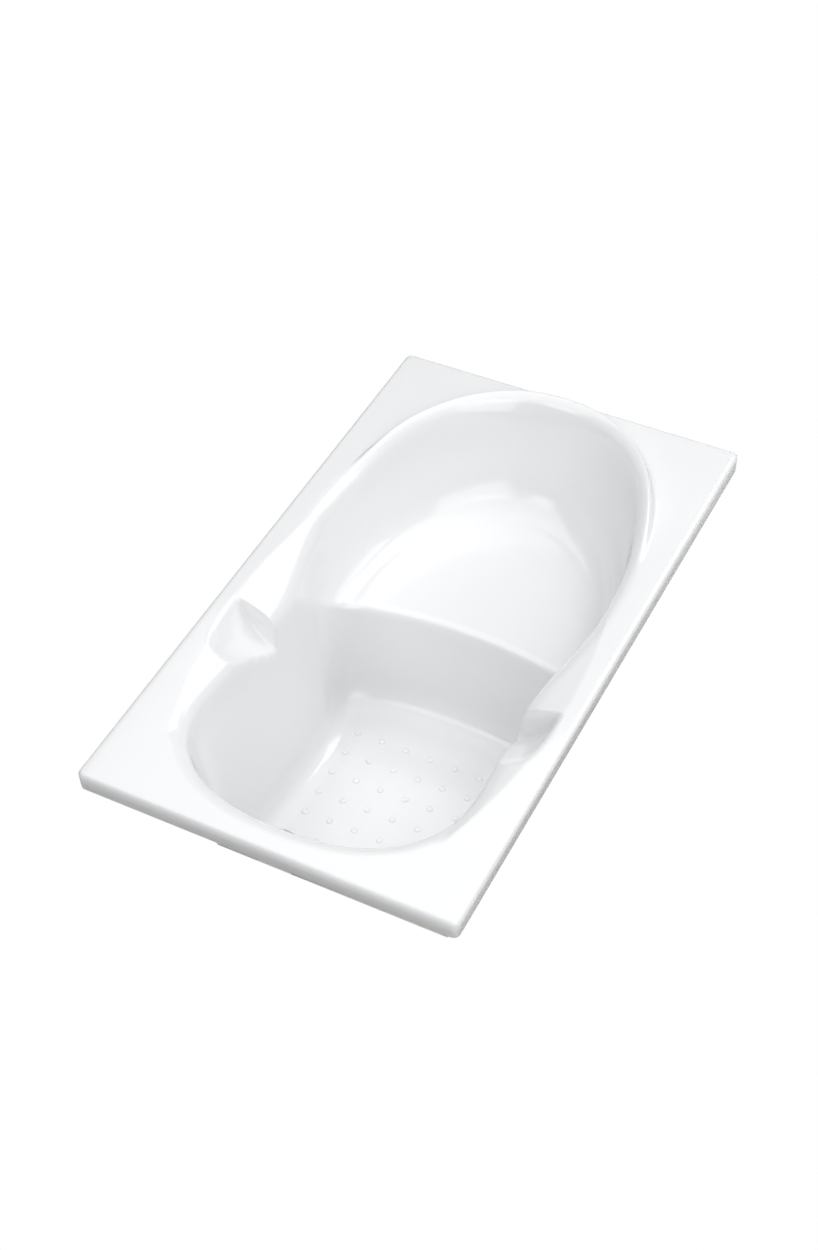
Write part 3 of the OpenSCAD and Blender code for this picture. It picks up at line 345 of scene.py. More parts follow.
def netFaces(rings, m, n):  # quads between the rings, and of the net of m by n steps inside the last one
    k = 2 * (m + n)
    around, last = np.arange(k), (rings - 1) * k
    after = (around + 1) % k
    bands = [np.stack([r * k + around, r * k + after, (r + 1) * k + after, (r + 1) * k + around], 1)
             for r in range(rings - 1)]
    ids = np.zeros((m + 1, n + 1), int)
    ids[1:-1, 1:-1] = rings * k + np.arange((m - 1) * (n - 1)).reshape(m - 1, n - 1)
    ids[:, 0], ids[m, :] = last + np.arange(m + 1), last + m + np.arange(n + 1)
    ids[:, n] = (last + m + n + np.arange(m + 1))[::-1]
    ids[0, 1:] = last + k - np.arange(1, n + 1)
    net = np.stack([ids[:-1, :-1], ids[1:, :-1], ids[1:, 1:], ids[:-1, 1:]], -1).reshape(-1, 4)
    return np.concatenate(bands + [net])


def tubFace(cols, rows, t):  # rings from the lip to the wall line, then the net inside them
    flat = deckRings(cols, rows, t)
    rings = lipRings(cols, rows, t) + [onFace(ring, t) for ring in flat]
    points = np.concatenate(rings + [onFace(netPoints(cols, rows, flat[-1]), t)])
    return points, netFaces(len(rings), len(cols) - 1, len(rows) - 1), len(flat[-1])


def addObject(name, data):
    thing = bpy.data.objects.new(name, data)
    bpy.context.scene.collection.objects.link(thing)
    return thing


def shadeSmooth(piece):
    piece.data.polygons.foreach_set("use_smooth", [True] * len(piece.data.polygons))


def addMesh(name, points, faces, edges=()):  # points in millimetres
    mesh = bpy.data.meshes.new(name)
    mesh.from_pydata([tuple(p) for p in np.asarray(points) * mm], edges, [tuple(f) for f in faces])
    piece = addObject(name, mesh)
    shadeSmooth(piece)
    return piece


def faceOut(piece):
    work = bmesh.new()
    work.from_mesh(piece.data)
    bmesh.ops.remove_doubles(work, verts=work.verts, dist=1e-6)
    bmesh.ops.recalc_face_normals(work, faces=work.faces)
    work.to_mesh(piece.data)
    work.free()


def applied(piece):  # the evaluated mesh takes the place of the mesh and its modifiers
    graph = bpy.context.evaluated_depsgraph_get()
    mesh = bpy.data.meshes.new_from_object(piece.evaluated_get(graph), depsgraph=graph)
    piece.modifiers.clear()
    piece.data = mesh


def roundBar(radius, low, high, sides):
    a = np.arange(sides) * 2 * math.pi / sides
    circle = np.stack([np.cos(a) * radius, np.sin(a) * radius], 1)
    points = np.concatenate([np.column_stack([circle, np.full(sides, z)]) for z in (low, high)])
    walls = [(i, (i + 1) % sides, sides + (i + 1) % sides, sides + i) for i in range(sides)]
    return points, walls + [tuple(range(sides))[::-1], tuple(range(sides, 2 * sides))]


def makeTub():
    cols, rows = netLines()
    top, topFaces, k = tubFace(cols, rows, 0)
    under, underFaces, half = tubFace(cols[::2], rows[::2], b["shellT"])
    start = len(top)
    lip = []  # the foot of the lip joins each point inside it to two outside
    for j in range(half):
        c0, c1 = start + j, start + (j + 1) % half
        lip += [(2 * j, 2 * j + 1, c0), (2 * j + 1, c1, c0), (2 * j + 1, (2 * j + 2) % k, c1)]
    tub = addMesh("bathTub", np.concatenate([top, under]),
                  [tuple(f) for f in topFaces] + [tuple(f) for f in underFaces + start] + lip)
    tub.data.materials.append(finishes["acrylic"])
    tub.data.materials.append(glassBack)
    index = np.arange(len(tub.data.polygons))
    back = (index >= len(topFaces)) & (index < len(topFaces) + len(underFaces))
    tub.data.polygons.foreach_set("material_index", back.astype(int))
    faceOut(tub)
    return tub


def addNode(tree, kind, inputs=None, **props):
    n = tree.nodes.new(kind)
    for key, value in props.items():
        setattr(n, key, value)
    for key, value in (inputs or {}).items():
        if isinstance(value, bpy.types.NodeSocket):
            tree.links.new(value, n.inputs[key])
        else:
            n.inputs[key].default_value = value
    return n


def maths(tree, operation, first, second=0.0):
    return addNode(tree, "ShaderNodeMath", {0: first, 1: second}, operation=operation).outputs[0]


def mapped(tree, value, low, high, toLow, toHigh):
    inputs = {"Value": value, "From Min": low, "From Max": high, "To Min": toLow, "To Max": toHigh}
    return addNode(tree, "ShaderNodeMapRange", inputs).outputs[0]


def shaderGroup(name, sizes, outputs):  # a shared effect with named inputs and outputs
    tree = bpy.data.node_groups.new(name, "ShaderNodeTree")
    for label, value in sizes.items():
        socket = tree.interface.new_socket(label, in_out="INPUT", socket_type="NodeSocketFloat")
        socket.default_value = value
    for label in outputs:
        tree.interface.new_socket(label, in_out="OUTPUT", socket_type="NodeSocketFloat")
    given = tree.nodes.new("NodeGroupInput").outputs
    result = tree.nodes.new("NodeGroupOutput").inputs
    place = tree.nodes.new("ShaderNodeTexCoord").outputs["Object"]
    return tree, given, result, place


def stretched(tree, place, scale, turn=(0, 0, 0)):
    return addNode(tree, "ShaderNodeMapping", {"Vector": place, "Scale": scale, "Rotation": turn}).outputs[0]


def noise(tree, vector, scale, detail=2.0, rough=0.5):
    inputs = {"Vector": vector, "Scale": scale, "Detail": detail, "Roughness": rough}
    return addNode(tree, "ShaderNodeTexNoise", inputs).outputs["Fac"]


def buildDrift():  # slow change of tone and gloss over a surface
    sizes = {"Scale": 6.0, "Rough Low": 0.2, "Rough High": 0.3}
    tree, given, result, place = shaderGroup("surfaceDrift", sizes, ["Tone", "Rough"])
    wide = noise(tree, place, given["Scale"], 3.0)
    fine = noise(tree, stretched(tree, place, (7, 7, 7)), given["Scale"], 4.0, 0.6)
    tree.links.new(mapped(tree, wide, 0.3, 0.7, 0.0, 1.0), result["Tone"])
    tree.links.new(mapped(tree, fine, 0.3, 0.7, given["Rough Low"], given["Rough High"]), result["Rough"])
    return tree


def buildGrain():  # fine skin of a moulded or cast surface
    sizes = {"Scale": 900.0, "Wave Scale": 14.0, "Wave": 0.5}
    tree, given, result, place = shaderGroup("fineGrain", sizes, ["Height"])
    fine = noise(tree, place, given["Scale"], 2.0)
    wave = maths(tree, "MULTIPLY", noise(tree, place, given["Wave Scale"], 1.0), given["Wave"])
    tree.links.new(maths(tree, "ADD", fine, wave), result["Height"])
    return tree


def buildStrands():  # chopped glass strands under a skin of resin
    sizes = {"Scale": 55.0, "Thickness": 0.5}
    tree, given, result, place = shaderGroup("glassStrands", sizes, ["Mask", "Height"])
    total = None
    for turn in ((0.3, 0.2, 0.4), (1.2, 0.5, 1.9), (2.2, 1.1, 0.9), (0.9, 2.4, 2.7)):
        lines = noise(tree, stretched(tree, place, (1, 16, 16), turn), given["Scale"], 1.0)
        strand = mapped(tree, lines, given["Thickness"], 0.72, 0.0, 1.0)
        total = strand if total is None else maths(tree, "MAXIMUM", total, strand)
    tree.links.new(total, result["Mask"])
    lumps = noise(tree, place, 38.0, 3.0)
    tree.links.new(maths(tree, "ADD", maths(tree, "MULTIPLY", total, 0.6), lumps), result["Height"])
    return tree


def buildChips():  # pressed wood chips
    tree, given, result, place = shaderGroup("woodChips", {"Scale": 120.0}, ["Tone", "Height"])
    cells = addNode(tree, "ShaderNodeTexVoronoi", {"Vector": stretched(tree, place, (1, 0.45, 2.2)),
                                                   "Scale": given["Scale"]})
    split = addNode(tree, "ShaderNodeSeparateColor", {"Color": cells.outputs["Color"]})
    tree.links.new(split.outputs[0], result["Tone"])
    tree.links.new(maths(tree, "SUBTRACT", split.outputs[1], cells.outputs["Distance"]), result["Height"])
    return tree


def buildWood():  # growth lines that run along Y
    sizes = {"Scale": 26.0, "Along": 0.06}
    tree, given, result, place = shaderGroup("woodGrain", sizes, ["Tone", "Height"])
    along = addNode(tree, "ShaderNodeCombineXYZ", {"X": 1.0, "Y": given["Along"], "Z": 1.0}).outputs[0]
    drawn = addNode(tree, "ShaderNodeVectorMath", {0: place, 1: along}, operation="MULTIPLY").outputs[0]
    rings = addNode(tree, "ShaderNodeTexWave", {"Vector": drawn, "Scale": given["Scale"], "Distortion": 5.0,
                                                "Detail": 3.0, "Detail Scale": 1.6}).outputs["Fac"]
    tree.links.new(rings, result["Tone"])
    tree.links.new(maths(tree, "ADD", rings, noise(tree, drawn, 900.0, 2.0)), result["Height"])
    return tree


def buildSpangle():  # crystal patches of a zinc coat
    tree, given, result, place = shaderGroup("zincSpangle", {"Scale": 90.0}, ["Tone", "Rough"])
    cells = addNode(tree, "ShaderNodeTexVoronoi", {"Vector": place, "Scale": given["Scale"]}).outputs["Color"]
    patch = addNode(tree, "ShaderNodeSeparateColor", {"Color": cells}).outputs[0]
    stain = noise(tree, place, 9.0, 4.0, 0.6)
    both = maths(tree, "MULTIPLY", maths(tree, "ADD", patch, stain), 0.5)
    tree.links.new(mapped(tree, both, 0.2, 0.8, 0.0, 1.0), result["Tone"])
    tree.links.new(mapped(tree, both, 0.2, 0.8, 0.3, 0.5), result["Rough"])
    return tree


drift, grain, strands = buildDrift(), buildGrain(), buildStrands()
chips, wood, spangle = buildChips(), buildWood(), buildSpangle()


def newFinish(name, **shader):  # constant values go on the shader's own sockets
    material = bpy.data.materials.new(name)
    material.use_nodes = True
    tree = material.node_tree
    surface = tree.nodes["Principled BSDF"]
    for key, value in shader.items():
        surface.inputs[key.replace("_", " ")].default_value = value
    return material, tree, surface


def addGroup(tree, effect, **sizes):
    n = tree.nodes.new("ShaderNodeGroup")
    n.node_tree = effect
    for key, value in sizes.items():
        n.inputs[key.replace("_", " ")].default_value = value
    return n.outputs


def tinted(tree, surface, mask, dark, light):
    n = addNode(tree, "ShaderNodeMix", {"Factor": mask, 6: (*dark, 1), 7: (*light, 1)}, data_type="RGBA")
    tree.links.new(n.outputs[2], surface.inputs["Base Color"])


def bumped(tree, surface, height, strength, distance):
    n = addNode(tree, "ShaderNodeBump", {"Height": height, "Strength": strength, "Distance": distance})
    tree.links.new(n.outputs[0], surface.inputs["Normal"])


def scaled(colour, share):
    return tuple(c * share for c in colour)


def drifted(tree, surface, scale, rough, dark, light):  # tone and roughness that change over the surface
    tone = addGroup(tree, drift, Scale=scale, Rough_Low=rough[0], Rough_High=rough[1])
    tinted(tree, surface, tone["Tone"], dark, light)
    tree.links.new(tone["Rough"], surface.inputs["Roughness"])


acrylicSizes = {"colour": (0.865, 0.872, 0.88), "dark": 0.985, "rough": (0.09, 0.13), "ripple": 0.035}


def acrylicFinish():
    s = acrylicSizes
    material, tree, surface = newFinish("glossAcrylic", IOR=1.49, Coat_Weight=0.35, Coat_Roughness=0.04)
    drifted(tree, surface, 3.0, s["rough"], scaled(s["colour"], s["dark"]), s["colour"])
    skin = addGroup(tree, grain, Scale=260.0, Wave_Scale=9.0, Wave=3.0)["Height"]
    bumped(tree, surface, skin, strength=s["ripple"], distance=0.0006)
    return material


def glassBackFinish():  # sprayed glass fibre and resin on the hidden face of the shell
    material, tree, surface = newFinish("glassFibreBack", Coat_Weight=0.2, Coat_Roughness=0.3)
    web = addGroup(tree, strands, Scale=55.0, Thickness=0.54)
    tinted(tree, surface, web["Mask"], dark=(0.60, 0.585, 0.51), light=(0.80, 0.79, 0.745))
    tree.links.new(mapped(tree, web["Mask"], 0, 1, 0.32, 0.6), surface.inputs["Roughness"])
    bumped(tree, surface, web["Height"], strength=0.55, distance=0.0012)
    return material


def boardFinish():
    material, tree, surface = newFinish("particleBoard", Roughness=0.75)
    chip = addGroup(tree, chips, Scale=150.0)
    tinted(tree, surface, chip["Tone"], dark=(0.36, 0.23, 0.12), light=(0.66, 0.48, 0.29))
    bumped(tree, surface, chip["Height"], strength=0.5, distance=0.0005)
    return material


def battenFinish():
    material, tree, surface = newFinish("planedSoftwood", Roughness=0.6)
    lines = addGroup(tree, wood, Scale=26.0, Along=0.06)
    tinted(tree, surface, lines["Tone"], dark=(0.56, 0.36, 0.18), light=(0.78, 0.60, 0.37))
    bumped(tree, surface, lines["Height"], strength=0.25, distance=0.0004)
    return material


def chromeFinish():
    material, tree, surface = newFinish("polishedChrome", Metallic=1.0)
    drifted(tree, surface, 30.0, (0.04, 0.1), (0.66, 0.67, 0.69), (0.72, 0.73, 0.745))
    skin = addGroup(tree, grain, Scale=300.0, Wave_Scale=30.0, Wave=1.0)["Height"]
    bumped(tree, surface, skin, strength=0.02, distance=0.0003)
    return material


zincSizes = {  # by slot, with the scale of the crystal patches
    "frame": {"name": "zincTube", "light": (0.62, 0.64, 0.66), "patch": 85.0},
    "fastener": {"name": "platedSteel", "light": (0.66, 0.66, 0.64), "patch": 400.0},
}


def zincFinish(name, light, patch):
    material, tree, surface = newFinish(name, Metallic=1.0)
    coat = addGroup(tree, spangle, Scale=patch)
    tinted(tree, surface, coat["Tone"], scaled(light, 0.78), light)
    tree.links.new(coat["Rough"], surface.inputs["Roughness"])
    skin = addGroup(tree, grain, Scale=500.0, Wave_Scale=40.0, Wave=0.4)["Height"]
    bumped(tree, surface, skin, strength=0.12, distance=0.0003)
    return material


plasticSizes = {  # by slot: least and most roughness, change of tone, and scale and depth of the skin
    "cap": {"name": "blackPlastic", "colour": (0.022, 0.022, 0.024), "rough": (0.42, 0.55),
            "toneChange": 0.3, "grainScale": 700.0, "bump": 0.2},
    "rubber": {"name": "blackRubber", "colour": (0.016, 0.016, 0.017), "rough": (0.62, 0.8),
               "toneChange": 0.35, "grainScale": 420.0, "bump": 0.35},
    "pipe": {"name": "whitePipe", "colour": (0.80, 0.81, 0.80), "rough": (0.28, 0.38),
             "toneChange": 0.05, "grainScale": 500.0, "bump": 0.12},
    "hose": {"name": "greyHose", "colour": (0.42, 0.43, 0.44), "rough": (0.4, 0.52),
             "toneChange": 0.1, "grainScale": 500.0, "bump": 0.15},
    "cable": {"name": "cableSheath", "colour": (0.03, 0.03, 0.032), "rough": (0.4, 0.5),
              "toneChange": 0.25, "grainScale": 600.0, "bump": 0.15},
}


def plasticFinish(name, colour, rough, toneChange, grainScale, bump):
    material, tree, surface = newFinish(name)
    drifted(tree, surface, 8.0, rough, scaled(colour, 1 - toneChange), colour)
    skin = addGroup(tree, grain, Scale=grainScale, Wave_Scale=20.0, Wave=0.6)["Height"]
    bumped(tree, surface, skin, strength=bump, distance=0.0004)
    return material


glassBack = glassBackFinish()
finishes = {
    "acrylic": acrylicFinish(), "board": boardFinish(), "batten": battenFinish(), "chrome": chromeFinish(),
    **{slot: zincFinish(**sizes) for slot, sizes in zincSizes.items()},
    **{slot: plasticFinish(**sizes) for slot, sizes in plasticSizes.items()},
}
print("finishes ready:", len(finishes) + 1)

photo = {  # the camera that took the photograph, in millimetres and degrees; its far clip is in metres
    "place": (1203.8, -2246.0, 3185.6), "azimuth": 29.05, "elevation": 46.41, "roll": -2.59,
    "lens": 59.81, "sensor": 36.0, "clip": 60,
}
stageSizes = {  # millimetres; the greys and the ambient light are shares of white
    "floor": 9000, "floorZ": -16, "nearWidth": 340, "rightWidth": 200, "surroundZ": 528, "gap": 1.5,
    "floorGrey": 0.75, "surroundGrey": 0.62, "ambient": 0.215,
}
lamps = {  # place and aim in millimetres, width in metres, power in watts
    "overhead": {"at": (0, 0, 3200), "aim": (0, 0, 500), "size": (3.8, 3.8), "power": 54},
    "frontRight": {"at": (2000, -1800, 2400), "aim": (0, 0, 500), "size": (2.8, 2.8), "power": 42},
    "frontLeft": {"at": (-1000, -1900, 2700), "aim": (0, 0, 450), "size": (1.1, 1.1), "power": 7.5},
    "backRight": {"at": (700, 2300, 3000), "aim": (0, 0, 500), "size": (1.6, 1.2), "power": 23},
    "right": {"at": (2200, 1900, 2200), "aim": (0, 0, 500), "size": (1.6, 1.4), "power": 12},
}


def makeCamera():
    c = photo
    az, el, roll = (math.radians(c[k]) for k in ("azimuth", "elevation", "roll"))
    forward = Vector((-math.sin(az) * math.cos(el), math.cos(az) * math.cos(el), -math.sin(el)))
    right = forward.cross(Vector((0, 0, 1))).normalized()
    up = right.cross(forward)
    across = right * math.cos(roll) + up * math.sin(roll)
    high = across.cross(forward)
    turn = Matrix((across, high, -forward)).transposed()
    camera = addObject("photoCamera", bpy.data.cameras.new("photoCamera"))
    camera.matrix_world = Matrix.Translation(Vector(c["place"]) * mm) @ turn.to_4x4()
    camera.data.sensor_width, camera.data.lens, camera.data.sensor_fit = c["sensor"], c["lens"], "AUTO"
    camera.data.clip_end = c["clip"]
    bpy.context.scene.camera = camera


def paperFinish(name, grey, oneSided):  # white to the camera, grey to the light that it throws back
    material = bpy.data.materials.new(name)
    material.use_nodes = True
    tree = material.node_tree
    tree.nodes.clear()
    cloud = noise(tree, tree.nodes.new("ShaderNodeTexCoord").outputs["Object"], 2.0)
    tone = mapped(tree, cloud, 0, 1, grey * 0.98, grey)
    colour = addNode(tree, "ShaderNodeCombineColor", {"Red": tone, "Green": tone, "Blue": tone})
    paper = addNode(tree, "ShaderNodeBsdfDiffuse", {"Color": colour.outputs[0]})
    white = addNode(tree, "ShaderNodeEmission", {"Color": (1, 1, 1, 1), "Strength": 1.0})
    seen = tree.nodes.new("ShaderNodeLightPath").outputs["Is Camera Ray"]
    shown = addNode(tree, "ShaderNodeMixShader", {0: seen, 1: paper.outputs[0], 2: white.outputs[0]})
    if oneSided:
        back = tree.nodes.new("ShaderNodeNewGeometry").outputs["Backfacing"]
        clear = tree.nodes.new("ShaderNodeBsdfTransparent")
        shown = addNode(tree, "ShaderNodeMixShader", {0: back, 1: shown.outputs[0], 2: clear.outputs[0]})
    tree.links.new(shown.outputs[0], tree.nodes.new("ShaderNodeOutputMaterial").inputs["Surface"])
    return material


def flatSheet(name, low, high, z, material):
    (x0, y0), (x1, y1) = low, high
    sheet = addMesh(name, [(x0, y0, z), (x1, y0, z), (x1, y1, z), (x0, y1, z)], [(0, 1, 2, 3)])
    sheet.data.materials.append(material)


def makeStage():
    s = stageSizes
    half = s["floor"] / 2
    floor = paperFinish("floorPaper", s["floorGrey"], False)
    flatSheet("paleFloor", (-half, -half), (half, half), s["floorZ"], floor)
    # the surround that the tub is let into stands on its two near sides, and can't be seen from below
    surround = paperFinish("surround", s["surroundGrey"], True)
    x0, y0 = b["rimW"] / 2 + s["gap"], -b["rimL"] / 2 - s["gap"]
    x1 = x0 + s["rightWidth"]
    flatSheet("surroundNear", (-x0, y0 - s["nearWidth"]), (x1, y0), s["surroundZ"], surround)
    flatSheet("surroundRight", (x0, y0), (x1, -y0), s["surroundZ"], surround)
    world = bpy.data.worlds.new("studio")
    bpy.context.scene.world = world
    world.use_nodes = True
    tree = world.node_tree
    seen = tree.nodes.new("ShaderNodeLightPath").outputs["Is Camera Ray"]
    tree.nodes["Background"].inputs["Color"].default_value = (1, 1, 1, 1)
    tree.links.new(mapped(tree, seen, 0, 1, s["ambient"], 1.0), tree.nodes["Background"].inputs["Strength"])


def makeLamps():
    for name, s in lamps.items():
        data = bpy.data.lights.new(name, "AREA")
        data.shape, data.size, data.size_y, data.energy = "RECTANGLE", *s["size"], s["power"]
        lamp = addObject(name, data)
        lamp.location = Vector(s["at"]) * mm
        lamp.rotation_euler = (Vector(s["aim"]) * mm - lamp.location).to_track_quat("-Z", "Y").to_euler()


makeCamera()
makeStage()
makeLamps()
bpy.context.scene.view_settings.view_transform = "Standard"
print("camera, stage and lamps ready")


def newTree(name, sizes):  # a geometry tree with named inputs for its sizes
    tree = bpy.data.node_groups.new(name, "GeometryNodeTree")
    tree.interface.new_socket("Geometry", in_out="INPUT", socket_type="NodeSocketGeometry")
    for label, value in sizes.items():
        kind = "NodeSocketInt" if isinstance(value, int) else "NodeSocketFloat"
        tree.interface.new_socket(label, in_out="INPUT", socket_type=kind).default_value = value
    tree.interface.new_socket("Geometry", in_out="OUTPUT", socket_type="NodeSocketGeometry")
    tree.nodes.new("NodeGroupOutput").name = "out"
    return tree, tree.nodes.new("NodeGroupInput").outputs


def finishTree(tree, geometry, material):
    real = addNode(tree, "GeometryNodeRealizeInstances", {"Geometry": geometry})
    painted = addNode(tree, "GeometryNodeSetMaterial", {"Geometry": real.outputs[0], "Material": material})
    tree.links.new(painted.outputs[0], tree.nodes["out"].inputs["Geometry"])
    return tree


def evenLine(tree, mesh, step):  # a curve along a mesh of edges, in steps of one length
    inputs = {"Curve": addNode(tree, "GeometryNodeMeshToCurve", {"Mesh": mesh}).outputs[0], "Length": step}
    return addNode(tree, "GeometryNodeResampleCurve", inputs, mode="LENGTH").outputs[0]


def grown(piece, tree, **sizes):  # runs a tree on a piece and keeps the plain mesh
    modifier = piece.modifiers.new(tree.name, "NODES")
    modifier.node_group = tree
    for item in tree.interface.items_tree:
        if item.in_out == "INPUT" and item.name.replace(" ", "_") in sizes:
            modifier[item.identifier] = sizes[item.name.replace(" ", "_")]
    applied(piece)
    shadeSmooth(piece)


def finishPiece(piece, body, slot, *nodes, paint=True):
    if paint:
        piece.data.materials.clear()
        piece.data.materials.append(finishes[slot])
    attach(piece, body)
    if nodes:
        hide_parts(*nodes)


holeSizes = {
    "wasteY": -395, "wasteR": 26, "overflowR": 20, "overflowDrop": 88, "flatX": 36, "length": 60, "sides": 48,
}
lean = math.atan(b["endT"])
overflowAt = (0, float(nearLine(holeSizes["flatX"])) + b["endT"] * holeSizes["overflowDrop"],
              b["deckZ"] - holeSizes["overflowDrop"])
wallTurn = Matrix.Rotation(lean - math.pi / 2, 3, "X")  # turns Z into the basin and Y down the foot end wall


def drilled(piece, place, turn, radius):  # cuts a round hole
    reach = holeSizes["length"] / 2
    cutter = addMesh("cutter", *roundBar(radius, -reach, reach, holeSizes["sides"]))
    cutter.data.transform(Matrix.Translation(Vector(place) * mm) @ turn.to_4x4())
    cut = piece.modifiers.new("hole", "BOOLEAN")
    cut.object, cut.operation, cut.solver = cutter, "DIFFERENCE", "EXACT"
    applied(piece)
    bpy.data.objects.remove(cutter)


def drillTub(tub):
    h = holeSizes
    wellZ = b["deckZ"] - float(wellDrop(np.array(float(h["wasteY"]))))
    drilled(tub, (0, h["wasteY"], wellZ), Matrix.Identity(3), h["wasteR"])
    drilled(tub, overflowAt, wallTurn, h["overflowR"])


dotSizes = {
    "pitch": 52, "columns": 7, "rows": 7, "farY": -20, "radius": 6.6, "height": 2.2, "wasteClear": 48,
}


def dotTree():  # one low dome on each point
    tree, given = newTree("antiSlipDots", {"Dot Radius": 0.0048, "Dot Height": 0.001, "Segments": 20})
    ball = addNode(tree, "GeometryNodeMeshUVSphere", {"Segments": given["Segments"], "Rings": 12,
                                                      "Radius": 1.0})
    size = addNode(tree, "ShaderNodeCombineXYZ", {"X": given["Dot Radius"], "Y": given["Dot Radius"],
                                                  "Z": given["Dot Height"]}).outputs[0]
    domes = addNode(tree, "GeometryNodeInstanceOnPoints", {"Points": given["Geometry"],
                                                           "Instance": ball.outputs["Mesh"], "Scale": size})
    return finishTree(tree, domes.outputs[0], finishes["acrylic"])


def makeDots():
    s, points = dotSizes, []
    for j in range(s["rows"]):
        for i in range(s["columns"]):
            x, y = (i - (s["columns"] - 1) / 2) * s["pitch"], s["farY"] - j * s["pitch"]
            if math.hypot(x, y - holeSizes["wasteY"]) > s["wasteClear"]:
                points.append((x, y))
    dots = addMesh("wellFloorDots", onFace(np.array(points, float), 0), [])
    grown(dots, dotTree(), Dot_Radius=s["radius"] * mm, Dot_Height=s["height"] * mm)
    finishPiece(dots, "tub", "acrylic")


tub = makeTub()
drillTub(tub)
finishPiece(tub, "tub", "acrylic", "bath_shell", paint=False)
makeDots()
print("tub made:", len(tub.data.polygons), "faces")

# the pieces under the tub: CAD shapes with rounded edges, or shapes grown along a path
slotOf = {part["node"]: part["material_slot"] for part in frame["record"]["subparts"]}
bodyOf = {node: body for body, nodes in frame["record"]["behaviour"]["bodies"].items() for node in nodes}
edgeWidths = {  # rounding of the edges by slot, in millimetres
    "board": 0.8, "batten": 1.2, "frame": 0.4, "cap": 0.5, "fastener": 0.25, "rubber": 0.4, "chrome": 0.35,
    "pipe": 0.6,
}
edgeAngles = {"merge": 0.5, "round": 35, "crease": 32}  # degrees
feet = {
    "front_left": (-130, -432), "front_right": (130, -432),
    "rear_left": (-130, 400), "rear_right": (130, 400),
}


def camelName(name):
    head, *rest = name.split("_")
    return head + "".join(word.capitalize() for word in rest)


def markEdges(piece):
    shadeSmooth(piece)
    piece.data.set_sharp_from_angle(angle=math.radians(edgeAngles["crease"]))


def softCopy(node, cad):  # the CAD shape with its edges rounded
    work = bmesh.new()
    work.from_mesh(cad.data)
    bmesh.ops.remove_doubles(work, verts=work.verts, dist=2e-6)
    bmesh.ops.dissolve_limit(work, angle_limit=math.radians(edgeAngles["merge"]), verts=work.verts,
                             edges=work.edges)
    mesh = bpy.data.meshes.new(camelName(node))
    work.to_mesh(mesh)
    work.free()
    piece = addObject(camelName(node), mesh)
    bevel = piece.modifiers.new("softEdges", "BEVEL")
    bevel.width, bevel.segments = edgeWidths[slotOf[node]] * mm, 2
    bevel.limit_method, bevel.angle_limit = "ANGLE", math.radians(edgeAngles["round"])
    applied(piece)
    markEdges(piece)
    finishPiece(piece, bodyOf[node], slotOf[node], node)


rodSizes = {
    "radius": 6.0, "root": 5.35, "low": 6, "top": 118.625, "foot": 0.8, "tip": 1.2, "sides": 32,
    "nutAt": 16, "nutH": 6, "nutR": 10.2, "nutEdge": (1.2, 0.6),
    "pitch": 1.75, "ridge": 0.65, "from": 23.2, "to": 117.2,
}


def lathe(profile, sides):  # turns a closed profile of radius and height that starts and ends on the axis
    a = np.arange(sides) * 2 * math.pi / sides
    ring = np.stack([np.cos(a), np.sin(a)], 1)
    points = [(0, 0, profile[0][1]), (0, 0, profile[-1][1])]
    for r, z in profile[1:-1]:
        points += [(c * r, n * r, z) for c, n in ring]
    faces, count = [], len(profile) - 2
    for i in range(sides):
        j = (i + 1) % sides
        faces += [(0, 2 + j, 2 + i), (1, 2 + (count - 1) * sides + i, 2 + (count - 1) * sides + j)]
        for k in range(count - 1):
            low, high = 2 + k * sides, 2 + (k + 1) * sides
            faces.append((low + i, low + j, high + j, high + i))
    return np.array(points, float), faces


def threadTree():  # a ridge that winds up the rod
    tree, given = newTree("rodThread", {"Turns": 50.0, "Radius": 0.0055, "Start": 0.02, "Height": 0.09,
                                        "Ridge": 0.0006, "Resolution": 20})
    coil = addNode(tree, "GeometryNodeCurveSpiral", {
        "Resolution": given["Resolution"], "Rotations": given["Turns"], "Start Radius": given["Radius"],
        "End Radius": given["Radius"], "Height": given["Height"]})
    lift = addNode(tree, "ShaderNodeCombineXYZ", {"Z": given["Start"]}).outputs[0]
    raised = addNode(tree, "GeometryNodeTransform", {"Geometry": coil.outputs[0], "Translation": lift})
    square = addNode(tree, "GeometryNodeSetCurveNormal", {"Curve": raised.outputs[0]}, mode="Z_UP")
    profile = addNode(tree, "GeometryNodeCurvePrimitiveCircle", {"Resolution": 4, "Radius": given["Ridge"]})
    ridge = addNode(tree, "GeometryNodeCurveToMesh", {"Curve": square.outputs[0], "Fill Caps": True,
                                                      "Profile Curve": profile.outputs[0]})
    both = tree.nodes.new("GeometryNodeJoinGeometry")
    tree.links.new(ridge.outputs[0], both.inputs[0])
    tree.links.new(given["Geometry"], both.inputs[0])
    return finishTree(tree, both.outputs[0], finishes["fastener"])


